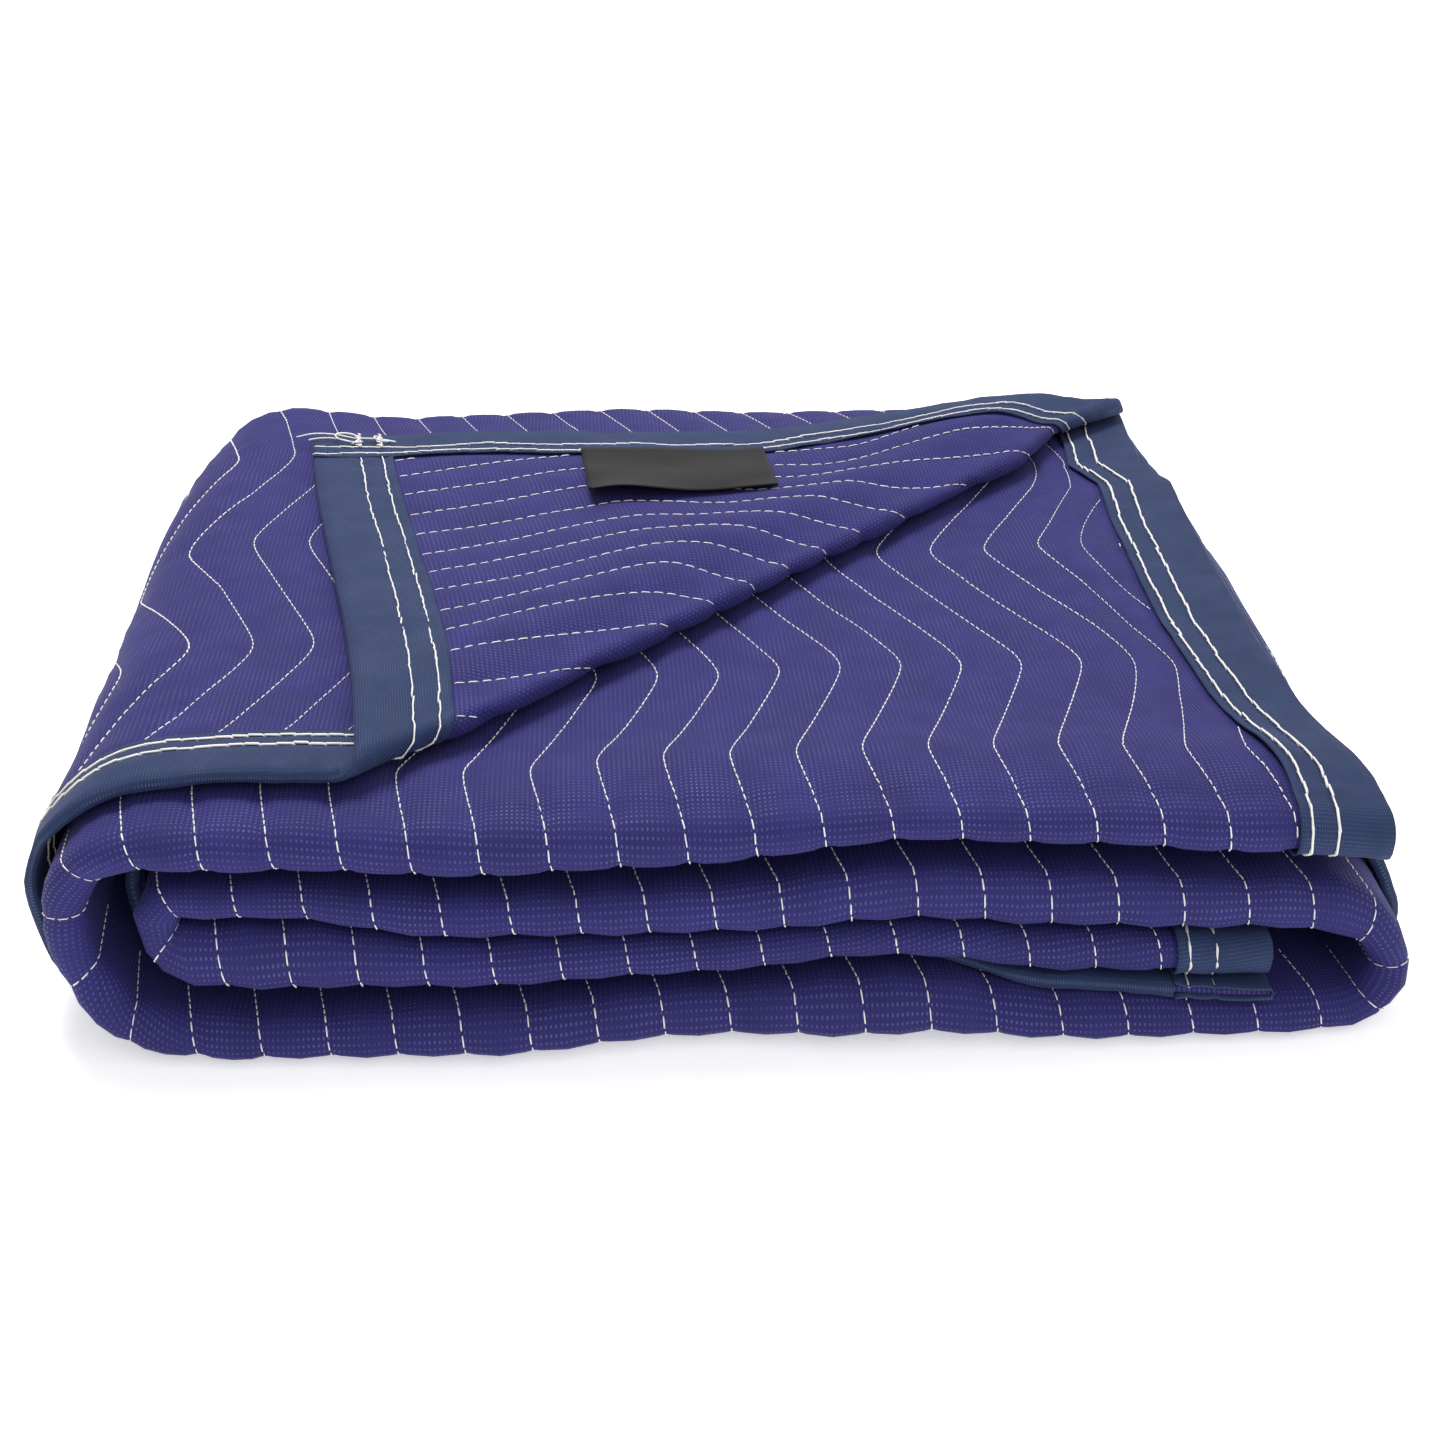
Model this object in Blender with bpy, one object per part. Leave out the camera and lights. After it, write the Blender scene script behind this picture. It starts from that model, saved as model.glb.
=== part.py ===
"""Quilted moving blanket, rolled in four across its width, then in four along its length.

Every piece is first laid out flat: u runs along the length from the outer end, v across the width from
the outer side, and w through the thickness. One mapping then folds all of them on the same lines. It rolls
the width into four plies, turns the free corner of the top ply back along a slanting line, rolls that
strip into four bands, and lets the stack settle unevenly.

The folded blanket is seen from its front, -Y: X is along the bands, +Z up, and the floor is at z = 0.
"""
import math

import bmesh
import bpy
import numpy as np

# The finished blanket laid flat, in metres
LENGTH = 2.011
WIDTH = 1.796
CLOTH = 0.0046
EDGE_CLOTH = 0.0019
STITCH_CLOTH = 0.0026

# The folded stack
PLY_GAP = 0.0020
PITCH = CLOTH + PLY_GAP
LEFT_END = -0.260
RIGHT_END = 0.278
TOP_BAND_END = 0.2545
INNER_TURN_GAP = 0.008
SIDE_SETBACK = 0.020
INNER_SIDE_SETBACK = 0.040

# How much further back than that the outer side lies, by place along the length
SLIP_PLACES = (0.0, 0.25, 0.38, 0.44, 0.50, 0.545, 0.60, 1.14, 1.35, 1.60, 1.85, 1.91, LENGTH)
SLIPS = (0.0, 0.000, 0.005, 0.008, 0.003, 0.009, 0.022, 0.022, 0.016, 0.014, 0.006, -0.012, -0.022)

# Binding, a folded tape around every edge
BINDING = 0.0368
TAPE = 0.0008
FIT = 0.0004

# Quilting, rows of stitches across the width that zigzag; the peaks are by place across the folded width
ROW_PITCH = 0.0254
ROW_OFFSET = 0.0080
WAVE_PEAKS = (0.006, 0.132, 0.248, 0.364, 0.484, 0.604, 0.724, 0.844, 0.963, 1.050, 1.176, 1.290, 1.400, 1.520,
              1.640, 1.760, 1.880)
WAVE_SWINGS = (0.018, 0.024, 0.014, 0.018, 0.018, 0.018, 0.018, 0.008, 0.011, 0.015, 0.030, 0.020, 0.018, 0.018,
               0.018, 0.018, 0.018)
CLEAR_OF_PEAK = 0.022
SWING_IN = 0.070
FIRST_HALF_PITCH = 4
QUILTED_PAST_BINDING = 0.005
QUILTED_BEFORE_TURN = 0.012

# The corner that is turned back, by its fold line on the top ply
CORNER_ALONG = 0.396
CORNER_ACROSS = 0.424
CORNER_RADIUS = 0.0042
CORNER_FACETS = 5

# The turned corner's lift over the ply below, by distance behind its fold, and its ripple by place across
CORNER_STEPS = (0.0, 0.032, 0.078, 0.130)
CORNER_LIFTS = (0.0, 0.0075, 0.0040, 0.0)
CORNER_SLIP = 0.025
CORNER_DROP = 0.012
CORNER_BOW = 0.026
BOW_FADE = 0.10
RIPPLE_PLACES = (0.0, 0.122, 0.228, 0.334, 0.440)
RIPPLE_LIFTS = (0.0, 0.0040, 0.0, 0.0025, 0.0)

# The label sewn under the end binding of the turned corner
LABEL_START = 0.125
LABEL_WIDTH = 0.084
LABEL_DROP = 0.076
LABEL_SLANT = -0.009
LABEL_CLOTH = 0.0008
LABEL_CURL = 0.006
LABEL_CURL_SWING = 0.4
LABEL_POINTS = 6

# Facets of each turn, and where columns and rows of points keep clear or stand in hidden plies
SIDE_TURN_FACETS = (5, 5, 4)
BAND_TURN_FACETS = (7, 6, 5)
CLEAR_OF_TURN = 0.015
QUIET_DEPTHS = (0.12, 0.26)
ROUNDING = 1e-6
SHARP_DEGREES = 50

# The back corners draw in, evenly from this far back to the end of the stack, and the back rises and sinks
DRAW_IN_START = 0.395
LEFT_DRAW_IN = 0.012
LEFT_DRAW_FROM = -0.06
LEFT_DRAW_RUN = 0.20
RIGHT_DRAW_IN = 0.006
RIGHT_DRAW_FROM = 0.10
RIGHT_DRAW_RUN = 0.17
BACK_PLACES = (-0.22, -0.14, -0.04, 0.07, 0.17, 0.25)
BACK_RISES = (0.001, -0.006, -0.004, -0.008, -0.008, -0.003)

# The lowest edge of the front droops to the floor
LIP_DROOP = 0.0050
LIP_DEPTH = 0.0125
LIP_BOTTOM = 0.0066
LIP_HEIGHT = 0.025

# The outer end of the top band is pulled in unevenly, by place along the depth, its upper plies the most
END_DRAW_PLACES = (0.03, 0.10, 0.17, 0.28, 0.335, 0.365, 0.41, 0.45)
END_DRAWS = (0.0, 0.010, 0.0145, 0.012, 0.008, 0.017, 0.012, 0.004)
END_DRAW_FROM = 0.17
END_DRAW_RUN = 0.05
END_DRAW_PLIES = 0.7

# A soft crest along the front of the top band
CREST_RISE = 0.005
CREST_DEPTH = 0.038
CREST_WIDTH = 0.028


def smooth(t):
    """Runs from 0 to 1 with level ends, for t from 0 to 1."""
    t = np.clip(t, 0.0, 1.0)
    return t * t * (3.0 - 2.0 * t)


class Roll:
    """A flat strip rolled up: straight legs joined by half turns that all bend the same way.

    The strip starts at (0, 0), runs along +a and turns towards -b. Each half turn is made of flat facets,
    so pieces that share the roll touch on the same lines whatever points they have.
    """

    def __init__(self, legs, radii, facets):
        """Works out the corner points and the normals there, from the lengths of the legs and the radii."""
        stations, points, normals, self.turns = [0.0], [(0.0, 0.0)], [(0.0, 1.0)], []
        s, a, b, heading = 0.0, 0.0, 0.0, 1.0
        for leg, radius, count in zip(legs, list(radii) + [0.0], list(facets) + [0]):
            s, a = s + leg, a + heading * leg
            stations.append(s)
            points.append((a, b))
            normals.append((0.0, heading))
            if count == 0:
                break
            for step in range(1, count + 1):
                angle = math.pi * step / count
                stations.append(s + radius * angle)
                points.append((a + heading * radius * math.sin(angle), b - heading * radius * (1 - math.cos(angle))))
                normals.append((heading * math.sin(angle), heading * math.cos(angle)))
            self.turns.append((s, s + math.pi * radius))
            s, b, heading = s + math.pi * radius, b - heading * 2 * radius, -heading
        self.stations = np.array(stations)
        self.points = np.array(points)
        self.normals = np.array(normals)
        self.end = s

    def place(self, s, offset):
        """Gives the point at length s and at a distance to the outside; past the ends the strip runs straight on."""
        inside = np.clip(s, 0.0, self.end)
        over = s - inside
        ends = np.where(over > 0.0, np.sign(self.points[-1, 0] - self.points[-2, 0]), 1.0)
        a, b, na, nb = (np.interp(inside, self.stations, column)
                        for column in (*self.points.T, *self.normals.T))
        return a + over * ends + offset * na, b + offset * nb


# The roll across the width: ply 4 on top, ply 3 under it, then plies 2 and 1 inside
FRONT_TURN = PITCH + CLOTH / 2
SIDE_RADII = (1.5 * PITCH, PITCH, 0.5 * PITCH)
BACK_TURN = (WIDTH - math.pi * sum(SIDE_RADII) + SIDE_SETBACK + INNER_SIDE_SETBACK + 2 * FRONT_TURN) / 4
PLY_LEGS = (BACK_TURN - SIDE_SETBACK, BACK_TURN - FRONT_TURN, BACK_TURN - FRONT_TURN, BACK_TURN - INNER_SIDE_SETBACK)
ACROSS = Roll(PLY_LEGS, SIDE_RADII, SIDE_TURN_FACETS)
TOP_PLY = 1.5 * PITCH
HALF_BUNDLE = TOP_PLY + CLOTH / 2

# The roll along the length: bands A (top), D (bottom), B and C
BANDS = 4
BAND = 4 * PITCH
BAND_RADII = (1.5 * BAND, BAND, 0.5 * BAND)
LEFT_TURN = LEFT_END + BAND_RADII[0] + HALF_BUNDLE
RIGHT_TURN = RIGHT_END - BAND_RADII[1] - HALF_BUNDLE
INNER_TURN = LEFT_TURN + INNER_TURN_GAP
BAND_LEGS = (TOP_BAND_END - LEFT_TURN, RIGHT_TURN - LEFT_TURN, RIGHT_TURN - INNER_TURN,
             LENGTH - math.pi * sum(BAND_RADII) - TOP_BAND_END - 2 * RIGHT_TURN + 2 * LEFT_TURN + INNER_TURN)
ALONG = Roll(BAND_LEGS, BAND_RADII, BAND_TURN_FACETS)
TOP_BAND_HEIGHT = HALF_BUNDLE + 3 * BAND

# The rows across the width where the drawing in begins, one for each ply
DRAW_IN_ROWS = (DRAW_IN_START - SIDE_SETBACK, ACROSS.turns[0][1] + BACK_TURN - DRAW_IN_START,
                ACROSS.turns[1][1] + DRAW_IN_START - FRONT_TURN, ACROSS.turns[2][1] + BACK_TURN - DRAW_IN_START)

# The fold line of the corner, in (u, v), with its normal towards the corner
FOLD_RUN = math.hypot(CORNER_ALONG, CORNER_ACROSS)
FOLD_NORMAL = (-CORNER_ACROSS / FOLD_RUN, -CORNER_ALONG / FOLD_RUN)
FOLD_REACH = CORNER_ALONG * CORNER_ACROSS / FOLD_RUN

# How the front of the stack has settled, in millimetres. A row for each place along X (metres): the lift of
# the joints between bands D and C, C and B, B and A, and of the top, then how far each band's front swells.
SETTLED = np.array([
    (-0.265, 1.0, 5.0, 5.0, 0.0, -2.0, -8.0, -6.0, 0.0),
    (-0.170, -8.0, 5.5, -1.0, 1.5, 5.0, 1.0, -3.0, 1.0),
    (-0.090, -4.0, -4.5, -4.5, 1.0, 9.0, 3.0, 0.0, 2.0),
    (-0.005, -2.0, -5.0, -2.0, 2.0, 0.0, 2.0, 1.0, 2.0),
    (0.070, 4.0, -3.0, 7.0, 2.0, 9.0, 0.0, 1.0, 3.0),
    (0.137, -6.0, -7.0, 2.5, 0.0, 11.0, 2.0, 2.0, 2.0),
    (0.205, -9.5, -11.0, -4.0, -3.0, 10.0, 2.0, 2.0, 1.0),
    (0.275, -13.0, -22.0, -11.0, -9.0, 2.0, -2.0, 0.0, 0.0),
])
SETTLED_DEPTH = 0.16


def row_swing(row):
    """Quilting rows zigzag: straight from peak to peak across the width, in metres along the length."""
    return np.interp(row, WAVE_PEAKS, np.array(WAVE_SWINGS) * (-1.0) ** np.arange(len(WAVE_PEAKS)))


def slip(u):
    """How far the outer side lies behind its setback at u, in metres."""
    return np.interp(u, SLIP_PLACES, SLIPS)


def slipped(u, row):
    """The flat v of a row: it keeps to its fold across the width, except near the two sides, which are straight."""
    return row - slip(u) * np.interp(row, (BINDING + FIT, DRAW_IN_ROWS[0], DRAW_IN_ROWS[3], WIDTH - BINDING - FIT),
                                     (0.0, 1.0, 1.0, 0.0))


def fold_corner(u, v, w):
    """Turns the corner of the top ply up and over a small round along its fold line."""
    d = FOLD_REACH + u * FOLD_NORMAL[0] + v * FOLD_NORMAL[1]
    d = np.where((u < BAND_LEGS[0]) & (v + slip(u) < PLY_LEGS[0]), d, -1.0)
    angles = np.linspace(0.0, math.pi, CORNER_FACETS + 1)
    turned = np.clip(d, 0.0, math.pi * CORNER_RADIUS)
    sine = np.interp(turned, angles * CORNER_RADIUS, np.sin(angles))
    cosine = np.interp(turned, angles * CORNER_RADIUS, np.cos(angles))
    flat_back = np.maximum(d - math.pi * CORNER_RADIUS, 0.0)
    across = np.where(d > 0.0, (CORNER_RADIUS - w) * sine - flat_back, d)
    height = np.where(d > 0.0, CORNER_RADIUS - (CORNER_RADIUS - w) * cosine, w)
    bulge = np.interp(flat_back, CORNER_STEPS, CORNER_LIFTS)
    ripple = np.interp(v, RIPPLE_PLACES, RIPPLE_LIFTS) * np.interp(flat_back, (0.0, CORNER_STEPS[2]), (0.0, 1.0))
    shift = across - d
    swing = CORNER_SLIP * smooth(flat_back / FOLD_REACH)
    bow = CORNER_BOW * np.sin(math.pi * np.clip(v / CORNER_ACROSS, 0.0, 1.0)) * smooth(flat_back / BOW_FADE)
    bow = bow + CORNER_DROP * smooth(flat_back / FOLD_REACH)
    return u + shift * FOLD_NORMAL[0] + swing, v + shift * FOLD_NORMAL[1] - bow, height + bulge + ripple


def settle(x, y, z):
    """Lets the even stack sag, swell and slip as a soft one does; it moves space, so nothing can cross."""
    stations = SETTLED[:, 0]
    cell = np.clip(np.searchsorted(stations, x) - 1, 0, len(stations) - 2)
    share = smooth((x - stations[cell]) / (stations[cell + 1] - stations[cell]))
    row = 0.001 * (SETTLED[cell, 1:] * (1.0 - share)[:, None] + SETTLED[cell + 1, 1:] * share[:, None])
    middles = np.array([0.0, 0.5, 1.5, 2.5, 3.5, 4.5]) * BAND
    level = np.clip(z / BAND, 0.0, BANDS)
    below = np.minimum(level.astype(int), BANDS - 1)
    part = level - below
    lifts = np.concatenate([np.zeros((len(x), 1)), row[:, :4]], axis=1)
    index = np.arange(len(x))
    lift = lifts[index, below] * (1.0 - part) + lifts[index, below + 1] * part
    swells = np.concatenate([row[:, 4:5], row[:, 4:], row[:, 7:8]], axis=1)
    slot = np.clip(np.searchsorted(middles, z) - 1, 0, 4)
    part = smooth((z - middles[slot]) / (middles[slot + 1] - middles[slot]))
    swell = swells[index, slot] * (1.0 - part) + swells[index, slot + 1] * part
    near = np.exp(-(np.maximum(y, 0.0) / SETTLED_DEPTH) ** 2)
    lip = LIP_DROOP * (1.0 - smooth(y / LIP_DEPTH)) * (1.0 - smooth((z - LIP_BOTTOM) / LIP_HEIGHT))
    back = np.clip((y - DRAW_IN_START) / (BACK_TURN + HALF_BUNDLE - DRAW_IN_START), 0.0, 1.0)
    left = smooth((LEFT_DRAW_FROM - x) / LEFT_DRAW_RUN)
    right = smooth((x - RIGHT_DRAW_FROM) / RIGHT_DRAW_RUN)
    rise = back * smooth(z / (BANDS * BAND)) * np.interp(x, BACK_PLACES, BACK_RISES)
    crest = CREST_RISE * np.exp(-((y - CREST_DEPTH) / CREST_WIDTH) ** 2) * smooth(z / BAND - (BANDS - 1))
    pulled = smooth((z / BAND - (BANDS - 1)) / END_DRAW_PLIES) * smooth((x - END_DRAW_FROM) / END_DRAW_RUN)
    draw = np.interp(y, END_DRAW_PLACES, END_DRAWS) * pulled
    return (x + LEFT_DRAW_IN * back * left - RIGHT_DRAW_IN * back * right - draw,
            y - swell * near,
            z + lift * near - lip + rise + crest)


def fold(flat):
    """Maps flat points (u, v, w) to the folded blanket; returns an array of the same shape."""
    u, v, w = np.asarray(flat, dtype=float).T
    corner_u, corner_v, height = fold_corner(u, v, w)
    y, h = ACROSS.place(corner_v + slip(corner_u), height)
    along, z = ALONG.place(corner_u, h + TOP_PLY)
    x, y, z = settle(TOP_BAND_END - along, y + SIDE_SETBACK, z + TOP_BAND_HEIGHT)
    return np.stack([x, y, z], axis=1)


def length_stations():
    """Columns of points along the length: fine over the quilted top band, then at the turns and settled places."""
    top = ROW_OFFSET + np.arange(FIRST_HALF_PITCH, int(2 * (BAND_LEGS[0] - ROW_OFFSET) / ROW_PITCH)) * ROW_PITCH / 2
    stations = [0.0, BINDING + FIT, *top, *ALONG.stations[1:-1]]
    places = SETTLED[1:-1, 0]
    spans = ((ALONG.turns[0][1], ALONG.turns[1][0], places - LEFT_TURN),
             (ALONG.turns[1][1], ALONG.turns[2][0], (RIGHT_TURN - places)[::-1]),
             (ALONG.turns[2][1], LENGTH - BINDING - FIT, places - INNER_TURN))
    for low, high, steps in spans:
        stations.extend(low + step for step in steps if CLEAR_OF_TURN < step < high - low - CLEAR_OF_TURN)
    return np.array(sorted([*stations, LENGTH - BINDING - FIT, LENGTH]))


def width_stations():
    """Rows of points across the width: at each turn's facets, the bindings and the draw-in, the quilting's peaks
    where a ply shows, and a few where it doesn't."""
    first, second, third = ACROSS.turns
    hidden = [first[1] + BACK_TURN - depth for depth in QUIET_DEPTHS]
    hidden += [third[1] + BACK_TURN - depth for depth in QUIET_DEPTHS]
    taken = np.array([0.0, WIDTH, BINDING + FIT, WIDTH - BINDING - FIT, *ACROSS.stations[1:-1], *DRAW_IN_ROWS])
    seen = [p for p in WAVE_PEAKS if p < first[0] or second[1] < p < third[0]]
    clear = [p for p in seen if np.min(np.abs(taken - p)) > CLEAR_OF_PEAK]
    return np.array(sorted([*taken, *hidden, *clear]))


def on_row(columns, row):
    """Where the columns cross a row: over the top band they follow the zigzag, which fades in at its ends."""
    swing_in = smooth((columns - BINDING) / SWING_IN) * smooth((BAND_LEGS[0] - columns) / SWING_IN)
    return columns + swing_in * row_swing(row)


def half_thickness(u, v, column):
    """Half the cloth: thin under the binding and on the stitched rows of the top band, full between them."""
    edge = np.minimum(np.minimum(u, LENGTH - u), np.minimum(v, WIDTH - v))
    on_band = (u > BINDING + QUILTED_PAST_BINDING) & (u < BAND_LEGS[0] - QUILTED_BEFORE_TURN)
    quilted = (column % 2 == 0) & on_band
    body = np.where(quilted, STITCH_CLOTH / 2, CLOTH / 2)
    return np.where(edge < BINDING + 2 * FIT, EDGE_CLOTH / 2, body)


def leg_end(u):
    """The flat v at u where the top ply's turn begins, with room for rounding."""
    return PLY_LEGS[0] - slip(u) + ROUNDING


def turned_corner_cuts(mesh):
    """Cuts a flat mesh along the facets of the corner's fold, and nowhere else."""
    facets = math.pi * CORNER_RADIUS * np.arange(CORNER_FACETS + 1) / CORNER_FACETS
    for distance in (*facets, *(facets[-1] + np.array(CORNER_STEPS[1:]))):
        reach = FOLD_REACH - distance
        faces = [f for f in mesh.faces if all(v.co.x < BAND_LEGS[0] and v.co.y < leg_end(v.co.x) for v in f.verts)]
        edges = {e for f in faces for e in f.edges}
        corners = {v for f in faces for v in f.verts}
        point = (-FOLD_NORMAL[0] * reach, -FOLD_NORMAL[1] * reach, 0.0)
        bmesh.ops.bisect_plane(mesh, geom=[*corners, *edges, *faces], dist=ROUNDING, plane_co=point,
                               plane_no=(FOLD_NORMAL[0], FOLD_NORMAL[1], 0.0))


def closed_grid(rings):
    """Makes a closed flat mesh from rings of points, an array (stations, ring, 3); the ends are capped in strips."""
    mesh = bmesh.new()
    count, size, _ = rings.shape
    points = [[mesh.verts.new(p) for p in ring] for ring in rings]
    for here, there in zip(points[:-1], points[1:]):
        for k in range(size):
            mesh.faces.new((here[k], here[(k + 1) % size], there[(k + 1) % size], there[k]))
    for ring in (points[0][::-1], points[-1]):
        for k in range(size // 2 - 1):
            mesh.faces.new((ring[k], ring[k + 1], ring[size - 2 - k], ring[size - 1 - k]))
    return mesh


def quilted_cloth():
    """The cloth: two skins of the same grid, whose columns follow the zigzag over the top band."""
    columns, rows = length_stations(), width_stations()
    u = on_row(columns[:, None], rows[None, :])
    v = slipped(u, rows[None, :])
    half = half_thickness(u, v, np.arange(len(columns))[:, None])
    over = np.stack([u, v, half], axis=2)
    under = np.stack([u, v, -half], axis=2)
    return closed_grid(np.concatenate([over, under[:, ::-1]], axis=1))


def tape_profile(edge, inward):
    """The binding's section around an edge, as (position, w): out along one wall, round the edge and back."""
    outer, inner = CLOTH / 2, CLOTH / 2 - TAPE
    lap, fold_out, fold_in = edge + inward * BINDING, edge - inward * (FIT + TAPE), edge - inward * FIT
    return [(lap, -outer), (fold_out, -outer), (fold_out, 0.0), (fold_out, outer), (lap, outer),
            (lap, inner), (fold_in, inner), (fold_in, 0.0), (fold_in, -inner), (lap, -inner)]


def tape_mesh(profile, stations, along_length):
    """Carries the tape's section along an edge; its ring is ordered so that the caps are the walls and the fold."""
    rings = []
    for s in stations:
        ring = [(s, p, w) if along_length else (p, slipped(p, s), w) for p, w in profile]
        rings.append(ring)
    return closed_grid(np.array(rings))


def side_binding(edge, inward):
    """The tape along a long side, between the end bindings that lap over it."""
    first, last = BINDING + FIT, LENGTH - BINDING - FIT
    inner = length_stations()[2:-2]
    return tape_mesh(tape_profile(edge, inward), [first, *on_row(inner, edge), last], True)


def end_binding(edge, inward):
    """The tape across an end, which wraps over both corners."""
    rows = width_stations()
    stations = [-FIT - TAPE, *rows[1:-1], WIDTH + FIT + TAPE]
    return tape_mesh(tape_profile(edge, inward), stations, False)


def label_cloth():
    """The label: a small slab that lies on the turned corner and curls up at its free edge."""
    share = np.linspace(0.0, 1.0, LABEL_POINTS)
    drops = BINDING + FIT + LABEL_DROP * share
    rings = []
    for part in share:
        run = LABEL_START + LABEL_WIDTH * part
        curl = LABEL_CURL * (1.0 - LABEL_CURL_SWING * (1.0 + math.cos(math.pi * (1.0 + part))))
        lift = FIT + CLOTH / 2 + curl * share ** 2
        near = [(u, run + LABEL_SLANT * down, -w) for u, down, w in zip(drops, share, lift)]
        far = [(u, v, w - LABEL_CLOTH) for u, v, w in near]
        rings.append(near + far[::-1])
    return closed_grid(np.array(rings))


def material(name, colour, roughness):
    """A plain Principled finish in linear colour."""
    finish = bpy.data.materials.new(name)
    finish.use_nodes = True
    shader = finish.node_tree.nodes["Principled BSDF"]
    shader.inputs["Base Color"].default_value = (*colour, 1.0)
    shader.inputs["Roughness"].default_value = roughness
    return finish


def add_piece(name, mesh, finish, shift):
    """Folds a flat mesh into place and links it as an object."""
    turned_corner_cuts(mesh)
    mesh.verts.ensure_lookup_table()
    places = fold([v.co[:] for v in mesh.verts]) + shift
    for vertex, place in zip(mesh.verts, places):
        vertex.co = place
    bmesh.ops.triangulate(mesh, faces=mesh.faces[:])
    bmesh.ops.recalc_face_normals(mesh, faces=mesh.faces[:])
    data = bpy.data.meshes.new(name)
    mesh.to_mesh(data)
    mesh.free()
    data.materials.append(finish)
    data.shade_smooth()
    data.set_sharp_from_angle(angle=math.radians(SHARP_DEGREES))
    bpy.context.collection.objects.link(bpy.data.objects.new(name, data))


def centre_shift(meshes):
    """The move that puts the folded blanket's box on the origin and its lowest face on the floor."""
    places = np.concatenate([fold([v.co[:] for v in mesh.verts]) for mesh in meshes])
    low, high = places.min(axis=0), places.max(axis=0)
    return np.array([-(low[0] + high[0]) / 2, -(low[1] + high[1]) / 2, -low[2]])


def main():
    """Builds the cloth, its four bindings and the label."""
    for thing in list(bpy.data.objects):
        bpy.data.objects.remove(thing)
    cloth = material("quilted non-woven", (0.062, 0.052, 0.235), 0.9)
    tape = material("binding tape", (0.048, 0.085, 0.190), 0.85)
    black = material("black label", (0.012, 0.012, 0.014), 0.7)
    pieces = {
        "quilted_cloth": (quilted_cloth(), cloth),
        "outer_side_binding": (side_binding(0.0, 1.0), tape),
        "inner_side_binding": (side_binding(WIDTH, -1.0), tape),
        "outer_end_binding": (end_binding(0.0, 1.0), tape),
        "inner_end_binding": (end_binding(LENGTH, -1.0), tape),
        "sewn_label": (label_cloth(), black),
    }
    shift = centre_shift([mesh for mesh, _ in pieces.values()])
    for name, (mesh, finish) in pieces.items():
        add_piece(name, mesh, finish, shift)


main()
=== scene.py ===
# %% [markdown]
# # A folded moving blanket
# A moving blanket is two layers of non-woven cloth with a thin filling, sewn together by wavy rows of stitches
# and bound all round with a folded tape. This one is rolled in four across its width, then in four along its
# length, and the free corner of its top ply is turned back.
#
# The folds could be simulated, but sixteen plies of cloth in contact are slow and never come out the same.
# Here the blanket is drawn flat and one mapping folds it, so every stitch, tape and label is placed on the flat
# blanket, where its place is easy to state, and arrives on the right fold by itself.

# %% The frame
import math

import bmesh
import bpy
import numpy as np
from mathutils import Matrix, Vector


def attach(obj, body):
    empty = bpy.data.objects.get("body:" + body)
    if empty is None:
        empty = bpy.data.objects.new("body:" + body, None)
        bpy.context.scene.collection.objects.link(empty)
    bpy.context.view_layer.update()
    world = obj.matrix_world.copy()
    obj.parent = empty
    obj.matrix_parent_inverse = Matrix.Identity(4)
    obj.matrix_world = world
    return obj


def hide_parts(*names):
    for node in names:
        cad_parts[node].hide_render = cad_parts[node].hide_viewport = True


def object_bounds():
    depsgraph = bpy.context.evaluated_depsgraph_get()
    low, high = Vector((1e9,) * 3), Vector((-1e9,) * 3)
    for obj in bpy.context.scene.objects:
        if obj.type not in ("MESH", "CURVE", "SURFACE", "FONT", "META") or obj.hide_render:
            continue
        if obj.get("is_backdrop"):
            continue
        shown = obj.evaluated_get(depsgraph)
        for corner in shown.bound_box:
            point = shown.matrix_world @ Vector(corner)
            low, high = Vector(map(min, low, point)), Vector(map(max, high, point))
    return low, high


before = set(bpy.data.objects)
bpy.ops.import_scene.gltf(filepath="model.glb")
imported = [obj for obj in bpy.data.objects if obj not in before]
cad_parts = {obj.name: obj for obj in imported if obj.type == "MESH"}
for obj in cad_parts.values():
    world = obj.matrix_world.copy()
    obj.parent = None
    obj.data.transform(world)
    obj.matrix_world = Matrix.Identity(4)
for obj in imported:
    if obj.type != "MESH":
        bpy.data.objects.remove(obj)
cad_low, cad_high = (np.array(corner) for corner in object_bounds())
print("solid model, metres:", cad_low.round(4), cad_high.round(4))

# %% [markdown]
# ## Camera
# The photograph looks down on the long front at about 26 degrees, slightly from the left. The focal length is
# in pixels of the photograph, and Blender wants it in millimetres for a 36 mm wide sensor.

# %% The camera
IMAGE_SIDE = 1445
FOCAL_PIXELS = 2330.0
CAMERA_PLACE = (-0.0527, -0.9740, 0.5138)
CAMERA_PITCH = 26.57
CAMERA_YAW = 3.53

camera_data = bpy.data.cameras.new("camera")
camera_data.sensor_width = 36.0
camera_data.lens = FOCAL_PIXELS * camera_data.sensor_width / IMAGE_SIDE
camera = bpy.data.objects.new("camera", camera_data)
camera.location = CAMERA_PLACE
camera.rotation_euler = (math.radians(90.0 - CAMERA_PITCH), 0.0, -math.radians(CAMERA_YAW))
bpy.context.scene.collection.objects.link(camera)
bpy.context.scene.camera = camera
print("lens, mm:", round(camera_data.lens, 1))

# %% [markdown]
# ## The flat blanket and its folds
# All sizes are in metres. u runs along the length from the end that shows on top, v runs across the width from
# the side that lies outermost, and w goes through the cloth, positive on the face that is outside when rolled.

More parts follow.
